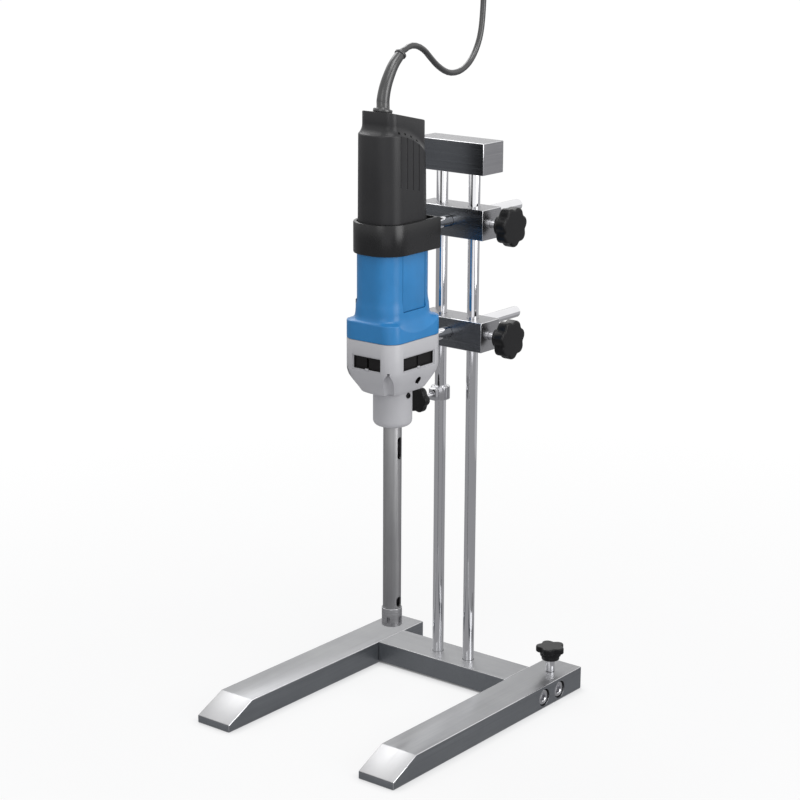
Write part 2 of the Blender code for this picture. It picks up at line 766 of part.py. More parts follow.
def make_leg_screws(looks):
    """Four socket head screws, each a head with a hexagon hole and a shank."""
    screws = []
    head_top = BASE_WIDTH / 2 - LEG_SCREW_SINK
    head_bottom = head_top - LEG_SCREW_HEAD_DEPTH + FIT
    tip = BASE_WIDTH / 2 - LEG_WIDTH - LEG_SCREW_GRIP + LEG_SCREW_TIP_GAP
    names = {-1: "left", 1: "right"}
    ends = ("front", "rear")
    for side in (-1, 1):
        for end, back in zip(ends, LEG_SCREW_PLACES):
            profile = [
                (0.0, head_top),
                (LEG_SCREW_HEAD - LEG_SCREW_EDGE, head_top),
                (LEG_SCREW_HEAD, head_top - LEG_SCREW_EDGE),
                (LEG_SCREW_HEAD, head_bottom),
                (LEG_SCREW_RADIUS, head_bottom),
                (LEG_SCREW_RADIUS, tip),
                (0.0, tip),
            ]
            place_at = (0.0, COLUMN_Y + back, LEG_SCREW_Z)
            name = f"leg_screw_{names[side]}_{end}"
            screw = turned(name, profile, looks["chrome"], place_at, steps=SMALL_STEPS, axis="X")
            if side < 0:
                screw.rotation_euler = (0.0, -math.pi / 2, 0.0)
            socket = cylinder_mesh(
                f"{name}_socket",
                HEX_SOCKET / math.cos(math.pi / 6),
                (0.0, 0.0, head_top - HEX_SOCKET_DEPTH),
                (0.0, 0.0, head_top + PAST),
                6,
            )
            tool = place_cutter(f"{name}_socket", socket, place_at)
            tool.rotation_euler = screw.rotation_euler
            cut(screw, tool)
            screws.append(screw)
    return screws


# Columns and top bar

def make_columns(looks):
    bottom = LEG_HEIGHT - COLUMN_SOCKET
    top = TOP_BAR_UNDERSIDE + TOP_BAR_SOCKET
    edge = COLUMN_EDGE
    radius = COLUMN_DIAMETER / 2
    profile = [
        (0.0, top),
        (radius - edge, top),
        (radius, top - edge),
        (radius, bottom + edge),
        (radius - edge, bottom),
        (0.0, bottom),
    ]
    columns = []
    for side, name in ((-1, "left_column"), (1, "right_column")):
        place_at = (side * COLUMN_PITCH / 2, COLUMN_Y, 0.0)
        columns.append(turned(name, profile, looks["chrome"], place_at))
    return columns


def make_top_bar(looks):
    low = (-TOP_BAR_WIDTH / 2, COLUMN_Y - TOP_BAR_DEPTH / 2, TOP_BAR_UNDERSIDE)
    high = (TOP_BAR_WIDTH / 2, COLUMN_Y + TOP_BAR_DEPTH / 2, TOP_BAR_UNDERSIDE + TOP_BAR_HEIGHT)
    bar = place("top_bar", block_mesh("top_bar", low, high), looks["dark_steel"])
    for side in (-1, 1):
        x = side * COLUMN_PITCH / 2
        cut_cylinder(
            bar,
            f"top_bar_socket_{side}",
            COLUMN_DIAMETER / 2 + FIT,
            (x, COLUMN_Y, TOP_BAR_UNDERSIDE - PAST),
            (x, COLUMN_Y, TOP_BAR_UNDERSIDE + TOP_BAR_SOCKET + FIT),
            ROUND_STEPS,
        )
    return bar


# Star knobs

def lobed_outline(radius, lobes, depth, steps):
    """A knob's edge: rounded lobes with shallow scallops between them."""
    points = []
    for step in range(lobes * steps):
        angle = 2 * math.pi * step / (lobes * steps)
        wave = math.cos(lobes * angle)
        points.append((angle, radius - depth * (1 - wave) / 2 - depth * 0.25 * (1 - wave * wave)))
    return points


def make_knob(name, radius, rim, hub, lobes, looks, place_at, turn):
    """A lobed grip over a stepped round hub, built along the piece's own +Z from its seat."""
    outline = lobed_outline(radius, lobes, radius * 0.15, LOBE_STEPS)

    def ring(share, height, round_off=0.0):
        points = []
        for angle, reach in outline:
            reach = share * (reach * (1 - round_off) + radius * 0.84 * round_off)
            points.append(Vector((reach * math.cos(angle), reach * math.sin(angle), height)))
        return points

    edge = rim * 0.14
    sections = [
        ring(0.62, 0.0, 1.0),
        ring(0.66, hub * 0.5, 1.0),
        ring(0.78, hub * 0.5, 1.0),
        ring(0.80, hub, 0.9),
        ring(0.95, hub, 0.0),
        ring(1.0, hub + edge, 0.0),
        ring(1.0, hub + rim - edge, 0.0),
        ring(0.93, hub + rim, 0.0),
    ]
    knob = place(name, loft_mesh(name, sections), looks["knob_plastic"], place_at)
    knob.rotation_euler = turn
    return knob


def make_stud(name, radius, bottom, top, looks, place_at, turn):
    edge = radius * 0.15
    profile = [
        (0.0, top),
        (radius, top),
        (radius, bottom + edge),
        (radius - edge, bottom),
        (0.0, bottom),
    ]
    stud = turned(name, profile, looks["chrome"], place_at, steps=SMALL_STEPS)
    stud.rotation_euler = turn
    return stud


def drill_knob(knob, radius, depth, place_at, turn):
    """The blind hole that a knob's stud is moulded into."""
    name = f"{knob.name}_socket"
    mesh = cylinder_mesh(name, radius + FIT, (0, 0, -PAST), (0, 0, depth + FIT))
    tool = place_cutter(name, mesh, place_at)
    tool.rotation_euler = turn
    cut(knob, tool)


TURN_TO_X = (0.0, math.pi / 2, 0.0)
TURN_TO_FRONT = (math.pi / 2, 0.0, 0.0)
TURN_UP = (0.0, 0.0, 0.0)


def make_block_knob(name, underside, looks):
    """Turns about X and bears on the right column through the block's threaded hole."""
    seat = BLOCK_WIDTH / 2 + BLOCK_KNOB_STANDOFF
    place_at = (seat, COLUMN_Y, underside + BLOCK_HEIGHT / 2)
    knob = make_knob(
        f"{name}_knob",
        BLOCK_KNOB_RADIUS,
        BLOCK_KNOB_RIM,
        BLOCK_KNOB_HUB,
        BLOCK_KNOB_LOBES,
        looks,
        place_at,
        TURN_TO_X,
    )
    drill_knob(knob, BLOCK_STUD_RADIUS, BLOCK_KNOB_HUB, place_at, TURN_TO_X)
    tip = COLUMN_PITCH / 2 + COLUMN_DIAMETER / 2 + FIT - seat
    stud = make_stud(
        f"{name}_knob_stud", BLOCK_STUD_RADIUS, tip, BLOCK_KNOB_HUB, looks, place_at, TURN_TO_X
    )
    return place_at, [knob, stud]


def make_base_knob(looks):
    place_at = (BASE_KNOB_X, COLUMN_Y + BASE_KNOB_BACK, LEG_HEIGHT + BASE_KNOB_STANDOFF)
    knob = make_knob(
        "base_knob",
        BASE_KNOB_RADIUS,
        BASE_KNOB_RIM,
        BASE_KNOB_HUB,
        BASE_KNOB_LOBES,
        looks,
        place_at,
        TURN_UP,
    )
    drill_knob(knob, BASE_STUD_RADIUS, BASE_KNOB_HUB, place_at, TURN_UP)
    bottom = BASE_STUD_CLEARANCE - LEG_HEIGHT - BASE_KNOB_STANDOFF
    stud = make_stud(
        "base_knob_stud", BASE_STUD_RADIUS, bottom, BASE_KNOB_HUB, looks, place_at, TURN_UP
    )
    return place_at, [knob, stud]


def make_stop_knob(looks):
    place_at = (-COLUMN_PITCH / 2, COLUMN_Y - COLLAR_LUG_REACH - STOP_KNOB_STANDOFF, COLLAR_Z)
    knob = make_knob(
        "stop_knob",
        STOP_KNOB_RADIUS,
        STOP_KNOB_RIM,
        STOP_KNOB_HUB,
        STOP_KNOB_LOBES,
        looks,
        place_at,
        TURN_TO_FRONT,
    )
    drill_knob(knob, STOP_STUD_RADIUS, STOP_KNOB_HUB, place_at, TURN_TO_FRONT)
    tip = COLUMN_DIAMETER / 2 + FIT - COLLAR_LUG_REACH - STOP_KNOB_STANDOFF
    stud = make_stud(
        "stop_knob_stud", STOP_STUD_RADIUS, tip, STOP_KNOB_HUB, looks, place_at, TURN_TO_FRONT
    )
    return place_at, [knob, stud]


def make_collar(looks):
    """A split ring round the left column, with a lug that the thumb screw goes through."""
    x = -COLUMN_PITCH / 2
    edge = COLLAR_EDGE
    half = COLLAR_HEIGHT / 2
    bore = COLUMN_DIAMETER / 2 + FIT
    profile = [
        (COLLAR_RADIUS - edge, half),
        (COLLAR_RADIUS, half - edge),
        (COLLAR_RADIUS, edge - half),
        (COLLAR_RADIUS - edge, -half),
        (bore, -half),
        (bore, half),
    ]
    place_at = (x, COLUMN_Y, COLLAR_Z)
    collar = turned("stop_collar", profile, looks["chrome"], place_at, closed=True)
    lug_low = (-COLLAR_LUG_WIDTH / 2, -COLLAR_LUG_REACH, -half + edge)
    lug_high = (COLLAR_LUG_WIDTH / 2, -(bore + COLLAR_RADIUS) / 2, half - edge)
    lug = place_cutter("collar_lug", block_mesh("collar_lug", lug_low, lug_high), place_at)
    combine(collar, lug, "UNION")
    y_low = COLUMN_Y - COLLAR_LUG_REACH - PAST
    cut_cylinder(
        collar,
        "collar_thread",
        STOP_STUD_RADIUS + FIT,
        (x, y_low, COLLAR_Z),
        (x, COLUMN_Y, COLLAR_Z),
    )
    cut_block(
        collar,
        "collar_slit",
        (x + COLUMN_DIAMETER / 4, COLUMN_Y - COLLAR_SLIT / 2, COLLAR_Z - COLLAR_HEIGHT),
        (x + COLLAR_RADIUS + PAST, COLUMN_Y + COLLAR_SLIT / 2, COLLAR_Z + COLLAR_HEIGHT),
    )
    return place_at, collar


# Slide blocks and rods

def make_slide_block(name, underside, looks):
    low = (-BLOCK_WIDTH / 2, COLUMN_Y - BLOCK_DEPTH / 2, underside)
    high = (BLOCK_WIDTH / 2, COLUMN_Y + BLOCK_DEPTH / 2, underside + BLOCK_HEIGHT)
    block = place(name, block_mesh(name, low, high), looks["dark_steel"])
    middle = underside + BLOCK_HEIGHT / 2
    for side in (-1, 1):
        x = side * COLUMN_PITCH / 2
        cut_cylinder(
            block,
            f"{name}_column_bore_{side}",
            COLUMN_DIAMETER / 2 + FIT,
            (x, COLUMN_Y, underside - PAST),
            (x, COLUMN_Y, underside + BLOCK_HEIGHT + PAST),
            ROUND_STEPS,
        )
    cut_cylinder(
        block,
        f"{name}_rod_bore",
        ROD_DIAMETER / 2 + FIT,
        (0.0, COLUMN_Y - BLOCK_DEPTH / 2 - PAST, middle + ROD_RISE),
        (0.0, COLUMN_Y + BLOCK_DEPTH / 2 + PAST, middle + ROD_RISE),
        ROUND_STEPS,
    )
    cut_cylinder(
        block,
        f"{name}_stud_thread",
        BLOCK_STUD_RADIUS + FIT,
        (COLUMN_PITCH / 2, COLUMN_Y, middle),
        (BLOCK_WIDTH / 2 + PAST, COLUMN_Y, middle),
    )
    cut_cylinder(
        block,
        f"{name}_set_screw_thread",
        SET_SCREW_RADIUS + FIT,
        (0.0, COLUMN_Y, underside - PAST),
        (0.0, COLUMN_Y, middle),
    )
    return block


def make_set_screw(name, underside, looks):
    """Pinches the rod from below."""
    top = underside + BLOCK_HEIGHT / 2 + ROD_RISE - ROD_DIAMETER / 2 - FIT
    bottom = top - SET_SCREW_LENGTH
    place_at = (0.0, COLUMN_Y, 0.0)
    profile = rod(SET_SCREW_RADIUS, bottom, top)
    screw = turned(name, profile, looks["lamination"], place_at, steps=SMALL_STEPS)
    cut_cylinder(
        screw,
        f"{name}_socket",
        SET_SCREW_SOCKET,
        (0.0, COLUMN_Y, bottom - PAST),
        (0.0, COLUMN_Y, bottom + SET_SCREW_SOCKET_DEPTH),
        6,
    )
    return screw


def make_rod(name, height, seat, spigot, looks):
    """A rod along Y, from the head's back to its tail, with a spigot on its front end."""
    front = AXIS_Y + seat + FIT
    rear = COLUMN_Y + ROD_TAIL
    radius = ROD_DIAMETER / 2
    profile = [
        (0.0, rear),
        (radius - ROD_EDGE, rear),
        (radius, rear - ROD_EDGE),
        (radius, front),
        (ROD_SPIGOT, front),
        (ROD_SPIGOT, front - FIT - spigot),
        (0.0, front - FIT - spigot),
    ]
    return turned(name, profile, looks["chrome"], (0.0, 0.0, height), axis="Y")


# Grey nose housing

def nose_sections():
    """The outside, from the flat underside up through the tucked-in lower part."""
    sections = []
    drop = NOSE_CREASE - NOSE_UNDERSIDE
    for depth, tuck in reversed(NOSE_TUCK_SHARES):
        inset = NOSE_TUCK_WIDTH * tuck
        shape = rounded_outline(
            NOSE_HALF - inset, NOSE_FRONT - inset, NOSE_FRONT - inset, NOSE_CORNER + inset * 0.2
        )
        sections.append(level(shape, NOSE_CREASE - drop * depth))
    full = rounded_outline(NOSE_HALF, NOSE_FRONT, NOSE_FRONT, NOSE_CORNER)
    sections.append(level(full, NOSE_CREASE))
    sections.append(level(full, NOSE_TOP))
    return sections


def cavity_outline():
    reach = NOSE_FRONT - NOSE_END_WALL
    return rounded_outline(NOSE_HALF - NOSE_SIDE_WALL, reach, reach, NOSE_CAVITY_CORNER)


def vent_places():
    """Each vent's name, its direction and its width."""
    return (
        ("front", (0.0, -1.0), NOSE_FRONT, FRONT_VENT_WIDTH),
        ("left", (-1.0, 0.0), NOSE_HALF, SIDE_VENT_WIDTH),
        ("right", (1.0, 0.0), NOSE_HALF, SIDE_VENT_WIDTH),
    )


def vent_box(direction, face, width, height_margin, near, far):
    """Corners of a box across a nose face, from near to far out along the direction."""
    half = width / 2 + height_margin
    bottom = VENT_UNDERSIDE - height_margin
    top = VENT_UNDERSIDE + VENT_HEIGHT + height_margin
    ends = sorted((direction[0] * (face + near), direction[0] * (face + far)))
    depths = sorted((direction[1] * (face + near), direction[1] * (face + far)))
    if direction[0]:
        return (ends[0], AXIS_Y - half, bottom), (ends[1], AXIS_Y + half, top)
    return (-half, AXIS_Y + depths[0], bottom), (half, AXIS_Y + depths[1], top)


def make_nose(looks):
    nose = place("nose_housing", loft_mesh("nose_housing", nose_sections()), looks["grey_plastic"])
    floor = NOSE_CREASE
    hollow = [level(cavity_outline(), floor), level(cavity_outline(), NOSE_TOP + PAST)]
    cut(nose, place_cutter("nose_cavity", loft_mesh("nose_cavity", hollow)))
    cut_cylinder(
        nose,
        "lower_bearing_pocket",
        LOWER_BEARING_RADIUS + FIT,
        (0.0, AXIS_Y, floor - LOWER_BEARING_HEIGHT - FIT),
        (0.0, AXIS_Y, floor + PAST),
        ROUND_STEPS,
    )
    cut_cylinder(
        nose,
        "nose_bore",
        NOSE_BORE,
        (0.0, AXIS_Y, NOSE_UNDERSIDE - PAST),
        (0.0, AXIS_Y, floor),
        ROUND_STEPS,
    )
    for name, direction, face, width in vent_places():
        low, high = vent_box(direction, face, width, 0.0, -VENT_DEPTH, PAST)
        cut_block(nose, f"vent_{name}", low, high)
        low, high = vent_box(direction, face, width, VENT_FRAME, -VENT_FRAME_DEPTH, PAST)
        cut_block(nose, f"vent_frame_{name}", low, high)
    cut_cylinder(
        nose,
        "lower_rod_socket",
        ROD_SPIGOT + FIT,
        (0.0, AXIS_Y + NOSE_FRONT - LOWER_SPIGOT_LENGTH - FIT, LOWER_ROD_Z),
        (0.0, AXIS_Y + NOSE_FRONT + PAST, LOWER_ROD_Z),
    )
    for x, y, name in nose_screw_places():
        cut_cylinder(
            nose,
            f"notch_{name}",
            NOTCH_BASE,
            (x, y, NOSE_UNDERSIDE - FIT),
            (x, y, NOTCH_TOP),
            SMALL_STEPS,
            NOTCH_PEAK,
        )
        cut_cylinder(
            nose,
            f"nose_screw_hole_{name}",
            NOSE_SCREW_RADIUS + FIT,
            (x, y, NOTCH_TOP - NOSE_SCREW_HEAD_HEIGHT),
            (x, y, NOSE_TOP + PAST),
            NOSE_SCREW_STEPS,
        )
    for side in (-1, 1):
        out = Vector((side * math.cos(SPANNER_HOLE_TILT), 0.0, -math.sin(SPANNER_HOLE_TILT)))
        mouth = Vector((
            side * (NOSE_HALF - SPANNER_HOLE_INSET),
            AXIS_Y + SPANNER_HOLE_Y,
            NOSE_CREASE - SPANNER_HOLE_DROP,
        ))
        cut_cylinder(
            nose,
            f"spanner_hole_{side}",
            SPANNER_HOLE,
            mouth - out * SPANNER_HOLE_DEPTH,
            mouth + out * PAST,
        )
    return nose


def nose_screw_places():
    for side_x, across in ((-1, "left"), (1, "right")):
        for side_y, along in ((-1, "front"), (1, "rear")):
            yield side_x * NOSE_SCREW_X, AXIS_Y + side_y * NOSE_SCREW_Y, f"{across}_{along}"


def make_nose_screws(looks):
    """Long thin screws from the notches up into the blue housing's corners."""
    screws = []
    for x, y, name in nose_screw_places():
        head = NOSE_SCREW_HEAD
        neck = NOTCH_TOP - FIT
        bottom = neck - NOSE_SCREW_HEAD_HEIGHT
        top = NOSE_TOP + NOSE_SCREW_LENGTH / 2
        profile = [
            (0.0, top),
            (NOSE_SCREW_RADIUS, top),
            (NOSE_SCREW_RADIUS, neck),
            (head, neck),
            (head, bottom),
            (0.0, bottom),
        ]
        screws.append(
            turned(
                f"nose_screw_{name}",
                profile,
                looks["black_plastic"],
                (x, y, 0.0),
                steps=NOSE_SCREW_STEPS,
            )
        )
    return screws


def make_vent_grilles(looks):
    """A black tray in each vent: a thin rim round a floor with an upright gap in its middle."""
    grilles = []
    for name, direction, face, width in vent_places():
        near = -GRILLE_SINK - GRILLE_THICKNESS
        low, high = vent_box(direction, face, width, -FIT, near, -GRILLE_FACE - VENT_FRAME_DEPTH)
        title = f"vent_grille_{name}"
        grille = place(title, block_mesh(title, low, high), looks["black_plastic"])
        low, high = vent_box(direction, face, width, -FIT - GRILLE_RIM, -GRILLE_SINK, PAST)
        cut_block(grille, f"{title}_tray", low, high)
        low, high = vent_box(direction, face, GRILLE_GAP, -GRILLE_GAP_MARGIN, near - PAST, PAST)
        if direction[0]:
            low = (low[0], AXIS_Y - GRILLE_GAP / 2, low[2])
            high = (high[0], AXIS_Y + GRILLE_GAP / 2, high[2])
        else:
            low = (-GRILLE_GAP / 2, low[1], low[2])
            high = (GRILLE_GAP / 2, high[1], high[2])
        cut_block(grille, f"{title}_gap", low, high)
        grilles.append(grille)
    return grilles


# Blue grip housing

def scoop(x, y):
    """How far the flange's edge dips at a point, from 0 to 1, on the two flat sides only."""
    along = min(1.0, abs(y) / SCOOP_HALF)
    side = max(0.0, min(1.0, (abs(x) / NOSE_HALF - 0.75) / 0.2))
    return side * (1.0 - along * along) ** 0.75


def grip_outline(inset=0.0):
    return rounded_outline(
        GRIP_HALF - inset,
        GRIP_FRONT - inset,
        GRIP_REAR - inset,
        GRIP_CORNER - inset,
        GRIP_REAR_CORNER - inset,
    )


def make_grip(looks):
    flange = rounded_outline(NOSE_HALF, NOSE_FRONT, NOSE_FRONT, NOSE_CORNER)
    grip = grip_outline()
    inner = grip_outline(GRIP_WALL)
    bottom = NOSE_TOP + FIT

    def ledge(height, dip):
        return [
            Vector((0.0, 0.0, height - SCOOP_DIP * dip * scoop(p.x, p.y))) for p in flange
        ]

    def stage(share, height, dip):
        shape = level(between(flange, grip, share), 0.0)
        return [p + rise for p, rise in zip(shape, ledge(height, dip))]

    outside = [
        level(flange, bottom),
        stage(0.0, FLANGE_TOP, 1.0),
        stage(0.12, FLANGE_TOP + FILLET_HEIGHT * 0.26, 0.92),
        stage(0.45, FLANGE_TOP + FILLET_HEIGHT * 0.65, 0.62),
        stage(0.70, GRIP_FOOT + (GRIP_SWELL_TOP - GRIP_FOOT) * 0.04, 0.32),
        stage(0.83, GRIP_FOOT + (GRIP_SWELL_TOP - GRIP_FOOT) * 0.35, 0.10),
        stage(0.87, GRIP_SWELL_TOP, 0.0),
        stage(1.0, GRIP_SWELL_TOP + SWELL_BLEND, 0.0),
        level(grip, HOUSING_SEAM - FIT),
    ]
    inside = [level(inner, HOUSING_SEAM - FIT), level(inner, bottom)]
    body = loft_mesh("grip_housing", outside + inside, closed=True)
    housing = place("grip_housing", body, looks["blue_plastic"])
    for side, name in ((-1, "left"), (1, "right")):
        floor = GRIP_HALF - PANEL_THICKNESS - FIT
        xs = sorted((side * floor, side * (GRIP_HALF + PAST)))
        cut_block(
            housing,
            f"{name}_panel_recess",
            (xs[0], AXIS_Y - PANEL_HALF, PANEL_UNDERSIDE),
            (xs[1], AXIS_Y + PANEL_HALF, PANEL_TOP),
        )
    for x, y, name in nose_screw_places():
        cut_cylinder(
            housing,
            f"grip_screw_hole_{name}",
            NOSE_SCREW_RADIUS + FIT,
            (x, y, bottom - PAST),
            (x, y, NOSE_TOP + NOSE_SCREW_LENGTH / 2 + FIT),
            NOSE_SCREW_STEPS,
        )
    slot_low, slot_high = switch_slot(FIT)
    cut_block(housing, "switch_opening", slot_low, slot_high)
    return housing


def switch_slot(margin):
    """The opening that the switch's stem runs in, through the wall and the left panel's edge."""
    reach = SWITCH_SLOT_WIDTH / 2 + margin
    low = SWITCH_Z - SWITCH_HEIGHT / 2 - margin
    high = SWITCH_Z + SWITCH_HEIGHT / 2 + SWITCH_TRAVEL + margin
    return (
        (-GRIP_HALF - PAST, SWITCH_Y - reach, low),
        (-GRIP_HALF + GRIP_WALL + FIT, SWITCH_Y + reach, high),
    )


def make_panel(side, looks):
    outer = side * GRIP_HALF
    inner = side * (GRIP_HALF - PANEL_THICKNESS)
    xs = sorted((outer, inner))
    name = "right_panel" if side > 0 else "switch_panel"
    low = (xs[0], AXIS_Y - PANEL_HALF + FIT, PANEL_UNDERSIDE + FIT)
    high = (xs[1], AXIS_Y + PANEL_HALF - FIT, PANEL_TOP - FIT)
    panel = place(name, block_mesh(name, low, high), looks["blue_plastic"])
    if side < 0:
        low, high = switch_slot(FIT)
        cut_block(panel, "switch_panel_opening", low, high)
    return panel


def make_switch(looks):
    """A ribbed thumb piece on a stem that runs up and down in the left side's slot."""
    bottom, top = SWITCH_Z - SWITCH_HEIGHT / 2, SWITCH_Z + SWITCH_HEIGHT / 2
    inner = -GRIP_HALF - SWITCH_THUMB_LIFT
    outer = inner - SWITCH_THUMB_DEPTH
    low = (outer, SWITCH_Y - SWITCH_THUMB_WIDTH / 2, bottom)
    high = (inner, SWITCH_Y + SWITCH_THUMB_WIDTH / 2, top)
    switch = place("switch_slider", block_mesh("switch_slider", low, high), looks["knob_plastic"])
    stem_low = (inner - SWITCH_THUMB_DEPTH / 2, SWITCH_Y - SWITCH_SLOT_WIDTH / 2, bottom)
    stem_high = (-GRIP_HALF + GRIP_WALL, SWITCH_Y + SWITCH_SLOT_WIDTH / 2, top)
    stem = place_cutter("switch_stem", block_mesh("switch_stem", stem_low, stem_high))
    combine(switch, stem, "UNION")
    for step in (-1, 0, 1):
        middle = SWITCH_Z + step * SWITCH_RIB_PITCH
        cut_block(
            switch,
            f"switch_grip_{step}",
            (outer - PAST, low[1] - PAST, middle - SWITCH_RIB_GAP / 2),
            (outer + SWITCH_RIB_DEPTH, high[1] + PAST, middle + SWITCH_RIB_GAP / 2),
        )
    return switch


# Black ring clamp and upper housing

def make_clamp(looks):
    outer = rounded_outline(
        GRIP_HALF + FIT + CLAMP_SIDE_WALL,
        GRIP_FRONT + FIT + CLAMP_FRONT_WALL,
        CLAMP_REAR,
        CLAMP_CORNER,
        CLAMP_REAR_CORNER,
    )
    inner = rounded_outline(
        GRIP_HALF + FIT,
        GRIP_FRONT + FIT,
        GRIP_REAR + FIT,
        GRIP_CORNER + FIT,
        CLAMP_INNER_REAR_CORNER,
    )
    rings = [
        level(outer, CLAMP_UNDERSIDE),
        level(outer, CLAMP_TOP),
        level(inner, CLAMP_TOP),
        level(inner, CLAMP_UNDERSIDE),
    ]
    clamp = place("ring_clamp", loft_mesh("ring_clamp", rings, closed=True), looks["black_plastic"])
    cut_cylinder(
        clamp,
        "upper_rod_socket",
        ROD_SPIGOT + FIT,
        (0.0, AXIS_Y, UPPER_ROD_Z),
        (0.0, AXIS_Y + CLAMP_REAR + PAST, UPPER_ROD_Z),
    )
    return clamp


def shoulder_height(x, y):
    """The shoulder falls away to the back in a parabola."""
    past = max(0.0, y - SHOULDER_FALL_START)
    return SHOULDER_Z - SHOULDER_DROP * past * past


def top_height(x, y):
    return CAP_TOP_FRONT - CAP_TOP_SLOPE * (y - SHOULDER_FALL_START)


def rear_outline(half, back, inset=0.0):
    return rounded_outline(
        half - inset, GRIP_FRONT - inset, back - inset, REAR_CORNER - inset
    )


def cap_outline(grow=0.0):
    return rounded_outline(
        CAP_HALF + grow, CAP_FRONT + grow, CAP_BACK + grow, CAP_CORNER + grow
    )


def make_rear_housing(looks):
    foot = rear_outline(REAR_FOOT_HALF, REAR_FOOT_BACK)
    shoulder = rear_outline(REAR_SHOULDER_HALF, REAR_SHOULDER_BACK)
    cap = cap_outline()
    bottom = HOUSING_SEAM
    ceiling = BULKHEAD_UNDERSIDE + BULKHEAD_THICKNESS + BOARD_HEIGHT + CEILING_GAP

    def above_shoulder(rise):
        return lambda x, y: shoulder_height(x, y) + rise

    def blend_top(x, y):
        return min(shoulder_height(x, y) + CAP_RISE * 1.4, top_height(x, y) - CAP_BLEND_ROOM)

    inner = rear_outline(REAR_FOOT_HALF, REAR_FOOT_BACK, REAR_WALL)
    inner_top = rear_outline(REAR_SHOULDER_HALF, REAR_SHOULDER_BACK, REAR_WALL)
    sections = [
        level(inner_top, ceiling),
        level(inner, CLAMP_TOP),
        level(inner, bottom),
        level(foot, bottom),
        level(foot, CLAMP_TOP),
        level(shoulder, above_shoulder(-SHOULDER_EDGE)),
        level(between(shoulder, cap, 0.10), above_shoulder(SHOULDER_EDGE)),
        level(between(shoulder, cap, 0.45), above_shoulder(CAP_RISE * 0.24)),
        level(between(shoulder, cap, 0.78), above_shoulder(CAP_RISE * 0.56)),
        level(between(shoulder, cap, 0.95), above_shoulder(CAP_RISE * 0.92)),
        level(cap, blend_top),
        level(cap, lambda x, y: top_height(x, y) - CAP_EDGE),
        level(cap_outline(-CAP_EDGE), top_height),
    ]
    shell = place("rear_housing", loft_mesh("rear_housing", sections), looks["black_plastic"])
    web = rear_outline(REAR_FOOT_HALF, REAR_FOOT_BACK, REAR_WALL * 0.6)
    web_levels = [
        level(web, BULKHEAD_UNDERSIDE),
        level(web, BULKHEAD_UNDERSIDE + BULKHEAD_THICKNESS),
    ]
    combine(shell, place_cutter("bulkhead", loft_mesh("bulkhead", web_levels)), "UNION")
    cut_cylinder(
        shell,
        "upper_bearing_pocket",
        UPPER_BEARING_RADIUS + FIT,
        (0.0, AXIS_Y, BULKHEAD_UNDERSIDE - FIT),
        (0.0, AXIS_Y, BULKHEAD_UNDERSIDE + UPPER_BEARING_HEIGHT + FIT),
        ROUND_STEPS,
    )
    for side in (-1, 1):
        y = AXIS_Y + side * WIRE_HOLE_Y
        cut_cylinder(
            shell,
            f"wire_hole_{side}",
            WIRE_HOLE,
            (0.0, y, BULKHEAD_UNDERSIDE - FIT),
            (0.0, y, BULKHEAD_UNDERSIDE + BULKHEAD_THICKNESS + FIT),
        )
    cut_grooves(shell)
    return shell


def cut_grooves(shell):
    """Four upright grooves on each side, each under a small round vent hole at the shoulder."""
    deep = GROOVE_WIDTH / 2 - GROOVE_DEPTH
    for side, name in ((-1, "left"), (1, "right")):
        for number in range(GROOVE_COUNT):
            back = GROOVE_FIRST + number * GROOVE_PITCH
            y = AXIS_Y + back
            bottom = SHOULDER_Z - GROOVE_DROP - CAP_TOP_SLOPE * number * GROOVE_PITCH
            top = shoulder_height(0.0, back) - GROOVE_HOLE_DROP
            cut_cylinder(
                shell,
                f"groove_{name}_{number}",
                GROOVE_WIDTH / 2,
                (side * (side_face(bottom) + deep), y, bottom),
                (side * (side_face(top) + deep), y, top),
                GROOVE_CUT_STEPS,
            )
            cut_cylinder(
                shell,
                f"groove_hole_{name}_{number}",
                GROOVE_HOLE,
                (side * (side_face(top) - GROOVE_HOLE_DEPTH), y, top),
                (side * (side_face(top) + PAST), y, top),
                GROOVE_CUT_STEPS,
            )


def side_face(z):
    """How far the upper housing's tapered side stands from the middle at a height."""
    share = (z - CLAMP_TOP) / (SHOULDER_Z - CLAMP_TOP)
    return REAR_FOOT_HALF - REAR_SIDE_TAPER * share


def make_board(looks):
    """The speed control board, standing on the bulkhead."""
    foot = BULKHEAD_UNDERSIDE + BULKHEAD_THICKNESS + FIT
    low = (-BOARD_WIDTH / 2, AXIS_Y + BOARD_Y, foot)
    high = (BOARD_WIDTH / 2, AXIS_Y + BOARD_Y + BOARD_THICKNESS, foot + BOARD_HEIGHT)
    return place("control_board", block_mesh("control_board", low, high), looks["board"])


# Neck and tool

def make_neck(looks):
    top = NOSE_UNDERSIDE - FIT
    bore = TUBE_RADIUS + FIT
    profile = [(NECK_RADIUS, top), (NECK_RADIUS, NECK_UNDERSIDE + NECK_EDGE)]
    for step in range(1, NECK_EDGE_STEPS + 1):
        angle = math.pi / 2 * step / NECK_EDGE_STEPS
        profile.append(
            (
                NECK_RADIUS - NECK_EDGE * (1 - math.cos(angle)),
                NECK_UNDERSIDE + NECK_EDGE * (1 - math.sin(angle)),
            )
        )
    profile += [(bore, NECK_UNDERSIDE), (bore, top)]
    neck = turned("neck", profile, looks["grey_plastic"], (0.0, AXIS_Y, 0.0), closed=True)
    cut_cylinder(
        neck,
        "lock_screw_thread",
        LOCK_SCREW_RADIUS + FIT,
        (0.0, AXIS_Y, LOCK_SCREW_Z),
        (NECK_RADIUS + PAST, AXIS_Y, LOCK_SCREW_Z),
    )
    return neck


